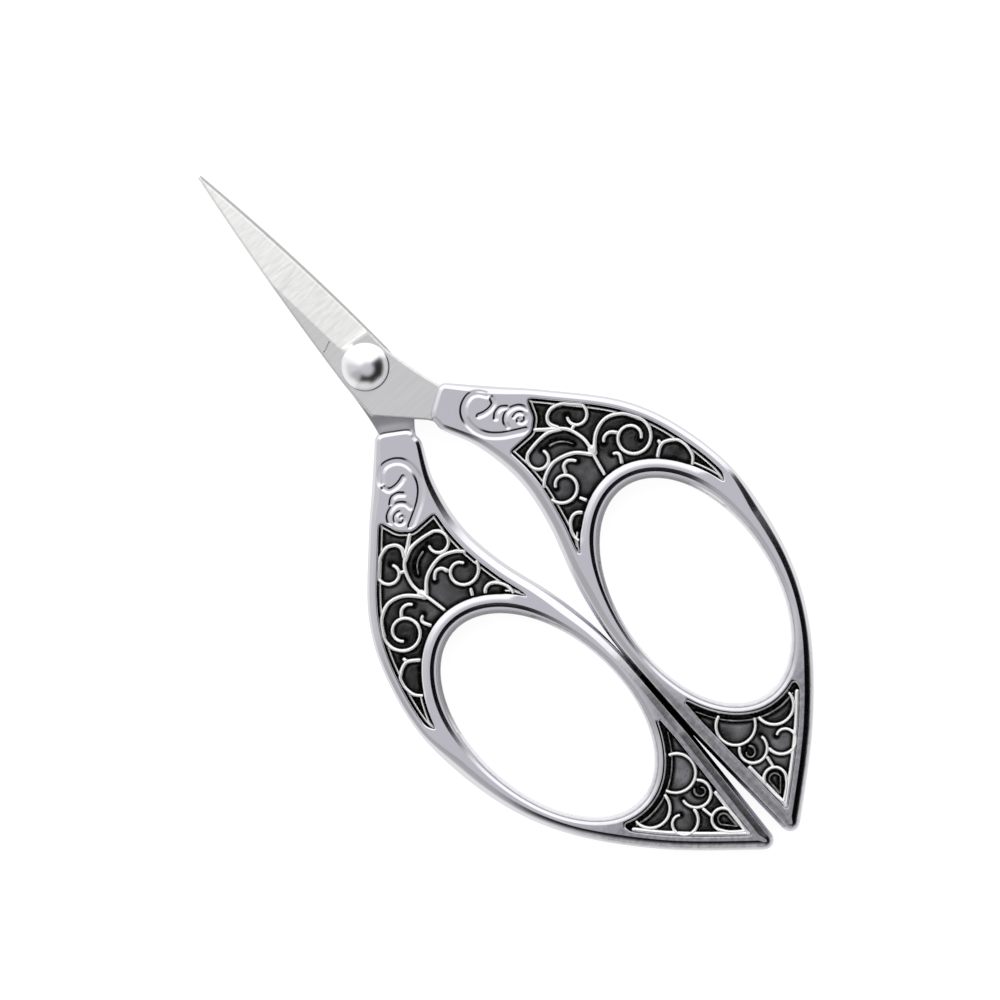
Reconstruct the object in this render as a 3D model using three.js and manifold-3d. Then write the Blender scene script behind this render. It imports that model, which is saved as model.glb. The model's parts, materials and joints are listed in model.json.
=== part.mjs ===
// Embroidery scissors with cast scroll handles, closed and lying flat.
// Millimetres. The origin is on the pivot axis, on the table. +Y runs from the pivot to the
// blade tips, +X to the right-hand handle and +Z up.
// Each half is drawn in a frame of its own: the pivot axis at the origin, its handle on the +X
// side, z = 0 midway between the two blades and +Z towards its own outer face. The rear half is
// the same construction turned half round about Y.
import * as THREE from "three";
import { mergeVertices } from "three/addons/utils/BufferGeometryUtils.js";
import Module from "manifold-3d";

// Blades.
const BLADE_REACH = 34; // pivot axis to tip
const BLADE_HALF_WIDTH = 3.75; // beside the pivot
const BLADE_WAIST = 2.57; // pulls the edge and the back in, halfway to the tip
const BLADE_STOCK = 1.3; // thickness of the steel
const BLADE_GAP = 0.1; // running clearance between the blades
const TIP_RADIUS = 0.35;
const EDGE_SETBACK = 0.25; // draws the edge inside the other blade's back
const EDGE_THICKNESS = 0.25; // steel left at the heel of the edge
const GRIND_HEEL = 3.9; // pivot axis to the start of the grinding
const GRIND_WIDTH = 4.7; // ground width at its heel
const GRIND_TILT = 5.3; // degrees between the ground face's upper border and the blade
const SHANK_DROP = 5.6; // pivot axis back to the corner under the blade's back
const SHANK_BEND_X = 4.3; // bends the shank's outer side towards its ferrule
const SHANK_BEND_Y = -4.2;

// Pivot.
const PIN_RADIUS = 1.5;
const PIN_CLEARANCE = 0.06; // radial, in the blades and the washer
const HEAD_RADIUS = 3.3;
const HEAD_HEIGHT = 1.5;
const HEAD_RIM = 0.3; // straight side below the dome
const HEAD_GAP = 0.05; // under the head
const WASHER_RADIUS = 3.2;
const PEEN_RADIUS = 2.2; // spread tail of the rivet
const PEEN_HEIGHT = 0.2;

// Where the two handles meet.
const CLOSING_LINE = 0.7; // from the pivot axis to the line where the bows meet
const STAGGER = 0.8; // the right-hand bow sits this much further back
const SLIT = 0.3; // between the closed bows

// Ferrule, the neck of the handle that holds the blade's tang. A handle is drawn from the
// closing line in X and from the pivot, shifted by half the stagger, in Y.
const MOUTH_X = 3.33; // middle of the ferrule's mouth
const MOUTH_Y = -9.15;
const MOUTH_WIDTH = 5.7;
const MOUTH_ROUND = 1.3; // corners of the mouth in plan
const TANG_SLOPE = -57.2; // degrees, the way the tang runs in plan
const TANG_WIDTH = 4.6;
const TANG_DEPTH = 8; // length inside the ferrule
const TANG_CLEARANCE = 0.15;
const FERRULE_WALL = 0.75; // over the tang

// Bow.
const HOLE_LONG = 17.1; // half lengths of the oval finger hole
const HOLE_SHORT = 10.6;
const HOLE_TILT = 6.65; // degrees that the hole leans, its front end outwards
const BOW_DISTANCE = 52.05; // pivot to the hole's middle
const CLOSING_WALL = 2.35; // between the hole and the closing line
const CLOSED_LENGTH = 14; // stretch, from the hole's middle back, where the bows run parallel
const TAIL_REACH = 16.5; // from the hole's far end to the end of the tail
const TAIL_SPREAD = 0.9; // the tails stand this much further off the closing line
const TAIL_RADIUS = 1.3;
const TAIL_SLOPE = -48; // degrees, where the tail's rounded end runs into the outer flank
const EDGE_ROUND = 0.8; // rounding of the handle's edges

// Outline of the handle: knots beside the ferrule, then [bearing, wall] pairs round the finger
// hole. A bearing is in degrees from the hole's front end, positive outwards.
const FERRULE_OUTER = [
  [10.7, -13],
  [15.7, -18],
];
const FERRULE_INNER = [
  [1.5, -12.7],
  [3.85, -18],
];
const OUTER_WALLS = [
  [17.4, 11.1],
  [37.8, 7.4],
  [63.6, 4.7],
  [97, 2.8],
  [130.7, 2.6],
  [170, 7],
];
const INNER_WALLS = [
  [-29.2, 12.6],
  [-39.4, 7.3],
  [-59.9, 4.15],
  [-78, 2.95],
];

// Panels: recesses in both faces, with black enamel on the floor and filigree on the enamel.
const WEB = 2; // metal left between the recesses of the two faces
const SHOULDER_RIM = 1.8; // outline to recess, in front of the hole
const SHOULDER_RING = 2.75; // hole to recess, in front of the hole
const SHOULDER_SPAN = [-50, 60]; // bearings between which the recess lies
const TAIL_RIM = 2.1;
const TAIL_RING = 1.6;
const TAIL_SPAN = [160, 234];
const HEAD_EDGE = -21.1; // front edge of the shoulder recess
const ENAMEL = 0.3;
const PANEL_CLEARANCE = 0.15;
const PANEL_SINK = 0.15; // filigree below the handle's face
const BORDER = 0.45; // width of the filigree's border strip
const WIRE = 0.6; // width of a scroll

// Lines cut in the ferrule: a C-scroll, and a spiral that the shoulder recess goes round.
const GROOVE = 0.4;
const GROOVE_DEPTH = 0.3;
const CURL_X = 7.3;
const CURL_Y = -13.9;
const CURL_RADIUS = 2.4;
const SPIRAL_X = 10.6;
const SPIRAL_Y = -18.8;
const SPIRAL_RADIUS = 1.3;
const SPIRAL_RIM = 0.5; // from the spiral to the recess
const SPIRAL_TURN = [-70, -35, 0]; // degrees, where the recess's edge bends round the spiral
const SPIRAL_STEP = 2.5; // from the spiral's middle out to the front corner of the recess

// How finely curves are cut.
const FLANK_STEPS = 40;
const CORNER_STEPS = 4;
const HOLE_STEPS = 44;
const ROUND_STEPS = 36;
const DOME_STEPS = 7;
const BEVEL_STEPS = 2;
const TURN_STEP = 32; // degrees between the points of a scroll
const FAR = 200; // further off than any point of the plan
const MERGE_DISTANCE = 1e-4;

const wasm = await Module();
wasm.setup();

const rad = THREE.MathUtils.degToRad;
const lerp = THREE.MathUtils.lerp;
const vec = (x, y) => new THREE.Vector2(x, y);
const polar = (radius, degrees) => vec(radius * Math.cos(rad(degrees)), radius * Math.sin(rad(degrees)));

// Heights above the middle plane.
const bladeInner = BLADE_GAP / 2;
const bladeOuter = bladeInner + BLADE_STOCK;
const face = bladeOuter + FERRULE_WALL;
const recessFloor = WEB / 2;
const filigreeFloor = recessFloor + ENAMEL;
const filigreeTop = face - PANEL_SINK;

const castSilver = { color: 0xb9b8c1, roughness: 0.3, metalness: 1 };
const brightSilver = { color: 0xd9d9de, roughness: 0.25, metalness: 1 };
const bladeSteel = { color: 0xc6c7c9, roughness: 0.28, metalness: 1 };
const polishedSteel = { color: 0xdcdcdf, roughness: 0.12, metalness: 1 };
const blackEnamel = { color: 0x131315, roughness: 0.15, metalness: 0 };

// Solids.

function solidOf(geometry) {
  const loose = geometry.index ? geometry.toNonIndexed() : geometry;
  const bare = new THREE.BufferGeometry();
  bare.setAttribute("position", loose.getAttribute("position"));
  const merged = mergeVertices(bare, MERGE_DISTANCE);
  return new wasm.Manifold(
    new wasm.Mesh({
      numProp: 3,
      vertProperties: merged.attributes.position.array,
      triVerts: new Uint32Array(merged.index.array),
    }),
  );
}

function geometryOf(solid) {
  const mesh = solid.getMesh();
  const geometry = new THREE.BufferGeometry();
  geometry.setAttribute("position", new THREE.BufferAttribute(mesh.vertProperties, 3));
  geometry.setIndex(new THREE.BufferAttribute(mesh.triVerts, 1));
  return geometry;
}

// The largest body of a solid, without any slivers that cutting left beside it.
function mainBody(solid) {
  return solid.decompose().reduce((main, body) => (body.volume() > main.volume() ? body : main));
}

function plate(shape, bottom, top) {
  const settings = { depth: top - bottom, bevelEnabled: false, curveSegments: CORNER_STEPS };
  return solidOf(new THREE.ExtrudeGeometry(shape, settings).translate(0, 0, bottom));
}

// A piece turned about Z, from a profile of [radius, height] pairs.
function turned(profile) {
  const points = profile.map(([radius, height]) => vec(radius, height));
  return new THREE.LatheGeometry(points, ROUND_STEPS).rotateX(Math.PI / 2);
}

// Points moved sideways, to the left of the way that they run.
function shifted(points, distance) {
  return points.map((point, i) => {
    const before = points[Math.max(i - 1, 0)];
    const after = points[Math.min(i + 1, points.length - 1)];
    const along = after.clone().sub(before).normalize();
    return vec(point.x - along.y * distance, point.y + along.x * distance);
  });
}

// A strip of even width along a run of points.
function strip(points, width) {
  const left = shifted(points, width / 2);
  const right = shifted(points, -width / 2);
  return new THREE.Shape([...left, ...right.reverse()]);
}

// Plan of the handle.

const tilt = rad(HOLE_TILT);
const holeAlong = vec(Math.sin(tilt), Math.cos(tilt));
const holeAcross = vec(Math.cos(tilt), -Math.sin(tilt));
const holeHalfWidth = Math.hypot(HOLE_SHORT * Math.cos(tilt), HOLE_LONG * Math.sin(tilt));
const holeMiddle = vec(SLIT / 2 + CLOSING_WALL + holeHalfWidth, -BOW_DISTANCE);

// The point at a bearing round the finger hole, some way out from its edge.
function byHole(bearing, out) {
  const along = (HOLE_LONG + out) * Math.cos(rad(bearing));
  const across = (HOLE_SHORT + out) * Math.sin(rad(bearing));
  return holeMiddle.clone().addScaledVector(holeAlong, along).addScaledVector(holeAcross, across);
}

function ovalRoundHole(out) {
  const bearings = Array.from({ length: HOLE_STEPS }, (_, i) => (360 * i) / HOLE_STEPS);
  return bearings.map((bearing) => byHole(bearing, out));
}

// The point at a depth in the ferrule, and an offset from the tang's middle to the outer side.
function inFerrule(depth, offset) {
  return vec(MOUTH_X, MOUTH_Y).add(polar(depth, TANG_SLOPE)).add(polar(offset, TANG_SLOPE + 90));
}

const pairs = (list) => list.map(([x, y]) => vec(x, y));
const walls = (list) => list.map(([bearing, wall]) => byHole(bearing, wall));

const closedX = SLIT / 2;
const closedEnd = -BOW_DISTANCE - CLOSED_LENGTH;
const tailX = closedX + TAIL_SPREAD;
const tailMiddle = vec(tailX + TAIL_RADIUS, byHole(180, 0).y - TAIL_REACH + TAIL_RADIUS);

// The two flanks of the handle, each from the ferrule's mouth to the tail.
const outerFlank = new THREE.SplineCurve([
  inFerrule(MOUTH_ROUND, MOUTH_WIDTH / 2),
  ...pairs(FERRULE_OUTER),
  ...walls(OUTER_WALLS),
  tailMiddle.clone().add(polar(TAIL_RADIUS, TAIL_SLOPE)),
]).getSpacedPoints(FLANK_STEPS);
const innerFlank = new THREE.SplineCurve([
  inFerrule(MOUTH_ROUND, -MOUTH_WIDTH / 2),
  ...pairs(FERRULE_INNER),
  ...walls(INNER_WALLS),
  vec(closedX, -BOW_DISTANCE),
])
  .getSpacedPoints(FLANK_STEPS / 2)
  .concat([vec(closedX, closedEnd), vec(tailX, tailMiddle.y)]);

function handleOutline() {
  const outline = new THREE.Shape(innerFlank);
  outline.absarc(tailMiddle.x, tailMiddle.y, TAIL_RADIUS, Math.PI, rad(360 + TAIL_SLOPE));
  outerFlank.toReversed().forEach(({ x, y }) => outline.lineTo(x, y));
  const outerCorner = inFerrule(0, MOUTH_WIDTH / 2);
  const outerEnd = inFerrule(0, MOUTH_WIDTH / 2 - MOUTH_ROUND);
  outline.quadraticCurveTo(outerCorner.x, outerCorner.y, outerEnd.x, outerEnd.y);
  const innerCorner = inFerrule(0, -MOUTH_WIDTH / 2);
  const innerEnd = inFerrule(0, MOUTH_ROUND - MOUTH_WIDTH / 2);
  outline.lineTo(innerEnd.x, innerEnd.y);
  outline.quadraticCurveTo(innerCorner.x, innerCorner.y, innerFlank[0].x, innerFlank[0].y);
  outline.holes.push(new THREE.Path(ovalRoundHole(0)));
  return outline;
}

// Recesses.

// Front edge of the shoulder recess: straight across, then round the ferrule's spiral.
const spiralMiddle = vec(SPIRAL_X, SPIRAL_Y);
const recessRound = SPIRAL_RADIUS + SPIRAL_RIM;
const headEdge = [
  vec(-FAR, HEAD_EDGE),
  vec(SPIRAL_X, HEAD_EDGE),
  ...SPIRAL_TURN.map((angle) => polar(recessRound, angle).add(spiralMiddle)),
  vec(SPIRAL_X + SPIRAL_STEP, SPIRAL_Y + recessRound),
  vec(FAR, SPIRAL_Y + recessRound),
];

const shoulder = { rim: SHOULDER_RIM, ring: SHOULDER_RING, span: SHOULDER_SPAN, front: headEdge };
const acrossHole = [vec(-FAR, -BOW_DISTANCE), vec(FAR, -BOW_DISTANCE)];
const tail = { rim: TAIL_RIM, ring: TAIL_RING, span: TAIL_SPAN, front: acrossHole };

// The wedge between two bearings from the hole's middle, its sides drawn in.
function wedge(span, inset) {
  const sides = span.map((bearing) => byHole(bearing, 0).sub(holeMiddle).normalize());
  const between = sides[0].clone().add(sides[1]).normalize();
  const halfAngle = Math.acos(between.dot(sides[0]));
  const apex = holeMiddle.clone().addScaledVector(between, inset / Math.sin(halfAngle));
  const ends = sides.map((side) => apex.clone().addScaledVector(side, FAR));
  return [apex, ends[0], apex.clone().addScaledVector(between, 2 * FAR), ends[1]];
}

// The space of a recess between two heights, its walls drawn in by the inset.
function recessSolid({ rim, ring, span, front }, inset, bottom, top) {
  const outer = shifted(outerFlank, -rim - inset);
  const inner = shifted(innerFlank, rim + inset);
  const edge = shifted(front, -inset);
  const cut = (points) => plate(new THREE.Shape(points), bottom, top);
  return cut([...outer, vec(-FAR, outer.at(-1).y), vec(-FAR, outer[0].y)])
    .intersect(cut([...inner, vec(FAR, inner.at(-1).y), vec(FAR, inner[0].y)]))
    .intersect(cut([...edge, vec(FAR, -FAR), vec(-FAR, -FAR)]))
    .intersect(cut(wedge(span, inset)))
    .subtract(cut(ovalRoundHole(ring + inset)));
}

// Ornament: runs of points, most of them a lead-in, a spiral about an eye and a trail.

function scroll(lead, eye, [startRadius, endRadius], [startAngle, endAngle], trail = []) {
  const steps = Math.ceil(Math.abs(endAngle - startAngle) / TURN_STEP);
  const turn = Array.from({ length: steps + 1 }, (_, i) => {
    const radius = lerp(startRadius, endRadius, i / steps);
    const angle = lerp(startAngle, endAngle, i / steps);
    return polar(radius, angle).add(eye);
  });
  return [...lead, ...turn, ...trail];
}

const crown = byHole(0, SHOULDER_RING);
const onCrown = (x, y) => vec(x, y).add(crown);
const heel = byHole(180, TAIL_RING);
const onHeel = (x, y) => vec(x, y).add(heel);

function shoulderScrolls() {
  const intoRing = SHOULDER_RING - BORDER;
  const stem = new THREE.SplineCurve([
    vec(SPIRAL_X, HEAD_EDGE + BORDER),
    onCrown(-2.6, 9.9),
    onCrown(-0.7, 7.7),
    onCrown(-0.25, 4.8),
    onCrown(-0.75, 2.5),
    byHole(-6, intoRing),
  ]).getPoints(10);
  const upperInner = scroll(
    [onCrown(-2.3, 9.5), onCrown(-4.9, 10)],
    onCrown(-6.6, 8),
    [1.75, 1.2],
    [100, 391],
  );
  const upperOuter = scroll(
    [
      onCrown(-0.9, 8.1),
      onCrown(-2.2, 9.9),
      onCrown(-2.3, 11),
      onCrown(-1.1, 12),
      onCrown(0.6, 11.8),
      onCrown(2, 10.5),
    ],
    onCrown(0.8, 9),
    [1.95, 1.05],
    [15, -241],
  );
  const lowerInner = scroll(
    [onCrown(-0.6, 3.5), onCrown(-2.5, 5.5), onCrown(-5.2, 6.3), onCrown(-7.3, 5.7)],
    onCrown(-6.5, 3),
    [2.65, 1],
    [143, 516],
  );
  const lowerOuter = scroll(
    [onCrown(-0.5, 3.4), onCrown(1.5, 5.5), onCrown(3.8, 6.2), onCrown(5.9, 5.3)],
    onCrown(4.9, 1.9),
    [2.85, 1.2],
    [40, -415],
  );
  const innerSprig = [onCrown(-5.1, 4.1), onCrown(-4.7, 5.1), onCrown(-3.6, 5.1), onCrown(-3, 4.3)];
  const outerSprig = [onCrown(3.9, 3.5), onCrown(3.2, 4.4), onCrown(2.3, 4.4), onCrown(1.6, 3.7)];
  const hook = [byHole(5.2, intoRing), byHole(7.4, 4), byHole(6.4, 4.6), byHole(4.1, 4.7)];
  const leaf = [byHole(-22.3, intoRing), byHole(-23.6, 4.2)];
  const innerScale = [
    byHole(-29.6, intoRing),
    byHole(-33.8, 4.4),
    byHole(-38, 4.4),
    byHole(-41.5, 4),
    byHole(-42.9, intoRing),
  ];
  const outerScale = [
    byHole(25.5, intoRing),
    byHole(28.9, 4.75),
    byHole(35.2, 5.6),
    byHole(38.5, 5.4),
    byHole(41.1, 4.85),
    byHole(43.3, 3.9),
    byHole(43.7, intoRing),
  ];
  const outerStub = [byHole(28.9, 4.6), byHole(27.4, 5.4)];
  return [
    stem,
    upperInner,
    upperOuter,
    lowerInner,
    lowerOuter,
    innerSprig,
    outerSprig,
    hook,
    leaf,
    innerScale,
    outerScale,
    outerStub,
  ];
}

function tailScrolls() {
  const innerScale = scroll([], onHeel(-5.9, 1.3), [2.6, 3.1], [105, 343]);
  const outerScale = scroll([], onHeel(0, -0.1), [2.8, 2.8], [174, 366]);
  const lowerScale = scroll([], onHeel(-6.3, -2.6), [1.75, 2.3], [125, 372]);
  const curl = scroll([], onHeel(-2.1, -4.4), [2.45, 0.75], [170, 470]);
  const drop = scroll(
    [onHeel(-7.7, -10.9), onHeel(-8, -9.1)],
    onHeel(-6.4, -7.6),
    [1.62, 1.62],
    [185, -30],
    [onHeel(-5.8, -9.6), onHeel(-8, -10.6)],
  );
  const dropStalk = [onHeel(-5.3, -4.6), onHeel(-5.5, -6.2)];
  return [innerScale, outerScale, lowerScale, curl, drop, dropStalk];
}

function ferruleLines() {
  const curlMiddle = vec(CURL_X, CURL_Y);
  const fromCurl = (x, y) => vec(x, y).add(curlMiddle);
  const back = [fromCurl(-1.6, -3.5), fromCurl(1.2, -5.6)];
  const curl = scroll([], curlMiddle, [CURL_RADIUS, CURL_RADIUS], [15, 190], back);
  const eye = scroll([], curlMiddle, [CURL_RADIUS / 2, CURL_RADIUS / 2], [210, 340]);
  const spiral = scroll([], spiralMiddle, [SPIRAL_RADIUS, SPIRAL_RADIUS / 2], [110, -250]);
  return [curl, eye, spiral];
}

function filigreeGeometry(recess, runs) {
  const height = filigreeTop - filigreeFloor;
  const panel = recessSolid(recess, PANEL_CLEARANCE, 0, height);
  const border = panel.subtract(recessSolid(recess, PANEL_CLEARANCE + BORDER, 0, height));
  const wires = runs.map((run) => plate(strip(run, WIRE), 0, height));
  const ornament = wires.reduce((joined, wire) => joined.add(wire), border);
  return geometryOf(mainBody(ornament.intersect(panel)));
}

function enamelGeometry(recess) {
  return geometryOf(recessSolid(recess, PANEL_CLEARANCE, 0, ENAMEL));
}

// Handle and blade.

function handleGeometry() {
  const above = 2 * face;
  const blank = new THREE.ExtrudeGeometry(handleOutline(), {
    depth: 2 * (face - EDGE_ROUND),
    bevelSize: EDGE_ROUND,
    bevelOffset: -EDGE_ROUND,
    bevelThickness: EDGE_ROUND,
    bevelSegments: BEVEL_STEPS,
    curveSegments: CORNER_STEPS,
  });
  const socket = [
    inFerrule(-MOUTH_WIDTH, TANG_WIDTH / 2 + TANG_CLEARANCE),
    inFerrule(-MOUTH_WIDTH, -TANG_WIDTH / 2 - TANG_CLEARANCE),
    inFerrule(TANG_DEPTH + TANG_CLEARANCE, -TANG_WIDTH / 2 - TANG_CLEARANCE),
    inFerrule(TANG_DEPTH + TANG_CLEARANCE, TANG_WIDTH / 2 + TANG_CLEARANCE),
  ];
  const socketShape = new THREE.Shape(socket);
  let solid = solidOf(blank.translate(0, 0, EDGE_ROUND - face));
  solid = solid.subtract(plate(socketShape, bladeInner - TANG_CLEARANCE, bladeOuter + TANG_CLEARANCE));
  for (const recess of [shoulder, tail]) {
    solid = solid.subtract(recessSolid(recess, 0, recessFloor, above));
    solid = solid.subtract(recessSolid(recess, 0, -above, -recessFloor));
  }
  for (const line of ferruleLines()) {
    solid = solid.subtract(plate(strip(line, GROOVE), face - GROOVE_DEPTH, above));
    solid = solid.subtract(plate(strip(line, GROOVE), -above, GROOVE_DEPTH - face));
  }
  return geometryOf(solid);
}

// Where a half's handle stands in that half's frame.
const handlePlace = (side) => vec(side * CLOSING_LINE, (-side * STAGGER) / 2);

function bladeGeometry(side) {
  const place = handlePlace(side);
  const tangPoint = (depth, offset) => inFerrule(depth, offset).add(place);
  const mouthOuter = tangPoint(0, TANG_WIDTH / 2);
  const mouthInner = tangPoint(0, -TANG_WIDTH / 2);
  const endOuter = tangPoint(TANG_DEPTH, TANG_WIDTH / 2);
  const endInner = tangPoint(TANG_DEPTH, -TANG_WIDTH / 2);
  const tipY = BLADE_REACH - TIP_RADIUS;
  const plan = new THREE.Shape();
  plan.moveTo(endOuter.x, endOuter.y);
  plan.lineTo(mouthOuter.x, mouthOuter.y);
  plan.quadraticCurveTo(SHANK_BEND_X, SHANK_BEND_Y, BLADE_HALF_WIDTH, 0);
  plan.quadraticCurveTo(BLADE_WAIST - EDGE_SETBACK, BLADE_REACH / 2, TIP_RADIUS, tipY);
  plan.absarc(0, tipY, TIP_RADIUS, 0, Math.PI);
  plan.quadraticCurveTo(-BLADE_WAIST, BLADE_REACH / 2, -BLADE_HALF_WIDTH, 0);
  plan.lineTo(-BLADE_HALF_WIDTH, -SHANK_DROP);
  plan.lineTo(mouthInner.x, mouthInner.y);
  plan.lineTo(endInner.x, endInner.y);
  const hole = Array.from({ length: ROUND_STEPS }, (_, i) =>
    polar(PIN_RADIUS + PIN_CLEARANCE, (360 * i) / ROUND_STEPS),
  );
  plan.holes.push(new THREE.Path(hole));
  return geometryOf(plate(plan, bladeInner, bladeOuter).subtract(grinding()));
}

// What the grinding takes off: a wedge along the blade, deepest at the cutting edge.
function grinding() {
  const slope = (BLADE_STOCK - EDGE_THICKNESS) / GRIND_WIDTH;
  const reach = 2 * GRIND_WIDTH;
  const section = new THREE.Shape([
    vec(0, 0),
    vec(reach, -reach * slope),
    vec(reach, BLADE_STOCK),
    vec(0, BLADE_STOCK),
  ]);
  const settings = { depth: 2 * BLADE_REACH, bevelEnabled: false };
  const block = new THREE.ExtrudeGeometry(section, settings).rotateX(Math.PI / 2);
  block.translate(0, settings.depth, 0).rotateZ(rad(GRIND_TILT));
  return solidOf(block.translate(BLADE_HALF_WIDTH - GRIND_WIDTH, GRIND_HEEL, bladeOuter));
}

function rivetGeometry() {
  const headBottom = face + bladeOuter + HEAD_GAP;
  const domeBottom = headBottom + HEAD_RIM;
  const domeHeight = HEAD_HEIGHT - HEAD_RIM;
  const dome = Array.from({ length: DOME_STEPS }, (_, i) => {
    const turn = polar(1, (90 * i) / DOME_STEPS);
    return [HEAD_RADIUS * turn.x, domeBottom + domeHeight * turn.y];
  });
  return turned([
    [0, 0],
    [PEEN_RADIUS, 0],
    [PEEN_RADIUS, PEEN_HEIGHT],
    [PIN_RADIUS, PEEN_HEIGHT],
    [PIN_RADIUS, headBottom],
    [HEAD_RADIUS, headBottom],
    ...dome,
    [0, headBottom + HEAD_HEIGHT],
  ]);
}

function washerGeometry() {
  const inner = PIN_RADIUS + PIN_CLEARANCE;
  const top = face - bladeOuter;
  return turned([
    [inner, PEEN_HEIGHT],
    [WASHER_RADIUS, PEEN_HEIGHT],
    [WASHER_RADIUS, top],
    [inner, top],
    [inner, PEEN_HEIGHT],
  ]);
}

// Assembly.

function named(name, geometry, look) {
  const mesh = new THREE.Mesh(geometry, new THREE.MeshStandardMaterial(look));
  mesh.name = name;
  return mesh;
}

const castHandle = handleGeometry();

// What lies in a recess, with the heights that it lies between.
const inlays = [
  { place: "shoulder", recess: shoulder, runs: shoulderScrolls() },
  { place: "tail", recess: tail, runs: tailScrolls() },
].flatMap(({ place, recess, runs }) => [
  {
    name: `${place}_enamel`,
    geometry: enamelGeometry(recess),
    look: blackEnamel,
    bottom: recessFloor,
    top: filigreeFloor,
  },
  {
    name: `${place}_filigree`,
    geometry: filigreeGeometry(recess, runs),
    look: brightSilver,
    bottom: filigreeFloor,
    top: filigreeTop,
  },
]);

// One half: its blade, and its handle with the inlays of the outer and the inner face.
function half(side, bladeName, hand, outerFace, innerFace) {
  const handle = new THREE.Group();
  const place = handlePlace(side);
  handle.position.set(place.x, place.y, 0);
  handle.add(named(`${hand}_handle`, castHandle, castSilver));
  for (const { name, geometry, look, bottom, top } of inlays) {
    const outer = named(`${hand}_${outerFace}_${name}`, geometry, look);
    outer.position.z = bottom;
    const inner = named(`${hand}_${innerFace}_${name}`, geometry, look);
    inner.position.z = -top;
    handle.add(outer, inner);
  }
  const group = new THREE.Group();
  group.add(named(bladeName, bladeGeometry(side), bladeSteel), handle);
  group.position.z = face;
  return group;
}

const scissors = new THREE.Group();
const frontHalf = half(1, "front_blade", "right", "front", "back");
const rearHalf = half(-1, "rear_blade", "left", "back", "front");
rearHalf.rotation.y = Math.PI;
scissors.add(frontHalf, rearHalf);
scissors.add(named("pivot_rivet", rivetGeometry(), polishedSteel));
scissors.add(named("pivot_washer", washerGeometry(), bladeSteel));

export default scissors;
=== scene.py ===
# %% [markdown]
# # Embroidery scissors with scroll handles
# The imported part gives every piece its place: two blades on a rivet, and two cast handles with
# scrollwork over black enamel. Here each piece gets the surface that the eye expects: soft cast
# edges, ground steel, drawn wires and a glossy fill. The drawing is in millimetres, as a
# toolmaker would have it, and only the last step of each piece turns it into metres.

import json
import math

import bpy
import numpy as np
from mathutils import Matrix, Vector, noise
from mathutils.geometry import delaunay_2d_cdt

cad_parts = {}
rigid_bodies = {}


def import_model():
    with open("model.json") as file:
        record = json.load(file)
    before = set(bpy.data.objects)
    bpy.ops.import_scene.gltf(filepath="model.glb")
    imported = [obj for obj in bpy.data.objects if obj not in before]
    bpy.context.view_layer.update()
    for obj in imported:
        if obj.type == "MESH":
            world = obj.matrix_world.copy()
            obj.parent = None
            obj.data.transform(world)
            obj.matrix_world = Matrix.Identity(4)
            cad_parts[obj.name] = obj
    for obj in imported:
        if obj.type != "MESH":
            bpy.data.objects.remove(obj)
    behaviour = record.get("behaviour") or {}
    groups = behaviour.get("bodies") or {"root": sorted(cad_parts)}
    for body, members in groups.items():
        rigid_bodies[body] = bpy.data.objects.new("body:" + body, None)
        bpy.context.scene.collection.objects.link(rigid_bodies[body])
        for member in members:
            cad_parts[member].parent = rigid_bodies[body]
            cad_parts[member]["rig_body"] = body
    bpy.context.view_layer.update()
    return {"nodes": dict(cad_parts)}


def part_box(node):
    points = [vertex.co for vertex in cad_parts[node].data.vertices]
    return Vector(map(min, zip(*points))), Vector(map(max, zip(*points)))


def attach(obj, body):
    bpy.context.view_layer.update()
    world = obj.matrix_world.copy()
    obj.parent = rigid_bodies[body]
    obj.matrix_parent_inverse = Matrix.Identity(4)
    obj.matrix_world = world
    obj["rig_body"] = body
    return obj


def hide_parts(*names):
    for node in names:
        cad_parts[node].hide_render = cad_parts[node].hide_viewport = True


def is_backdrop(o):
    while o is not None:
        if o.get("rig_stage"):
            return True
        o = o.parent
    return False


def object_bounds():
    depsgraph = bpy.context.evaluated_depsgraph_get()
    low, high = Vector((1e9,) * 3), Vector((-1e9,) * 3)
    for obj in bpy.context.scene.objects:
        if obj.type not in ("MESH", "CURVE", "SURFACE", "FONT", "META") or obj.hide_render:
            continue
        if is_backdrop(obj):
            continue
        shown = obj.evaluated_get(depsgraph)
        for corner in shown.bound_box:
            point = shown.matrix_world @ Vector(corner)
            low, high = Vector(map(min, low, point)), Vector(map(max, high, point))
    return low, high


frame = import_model()
MM = 0.001

# %% [markdown]
# ## Heights
# Each half of the scissors is the same construction, one turned over on the other. So everything
# is drawn once, in a frame whose z = 0 lies midway between the blades. The heights come from the
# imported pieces, so that nothing here can drift away from them.

# %% Heights above the middle plane
low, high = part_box("right_handle")
MIDDLE = (low.z + high.z) / 2 / MM
FACE = high.z / MM - MIDDLE
RECESS_FLOOR, ENAMEL_TOP = (corner.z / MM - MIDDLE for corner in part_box("right_front_shoulder_enamel"))
WIRE_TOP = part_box("right_front_shoulder_filigree")[1].z / MM - MIDDLE
BLADE_INNER, BLADE_OUTER = (corner.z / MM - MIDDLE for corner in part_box("front_blade"))
print("face", round(FACE, 2), "enamel", round(ENAMEL_TOP, 2), "wires", round(WIRE_TOP, 2))

# %% [markdown]
# ## Lines
# A plan line is an array of points. Splines through a few knots draw the flowing lines of the
# casting, and every line is then walked at an even step, because even steps give even faces.

# %% Lines in plan
SPLINE_STEPS = 24
CHUNK = 500  # points measured at a time, to spare memory


def polar(radius, degrees):
    """Points by their distance and direction from the origin."""
    turn = np.radians(degrees)
    return np.stack([radius * np.cos(turn), radius * np.sin(turn)], axis=-1)


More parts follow.
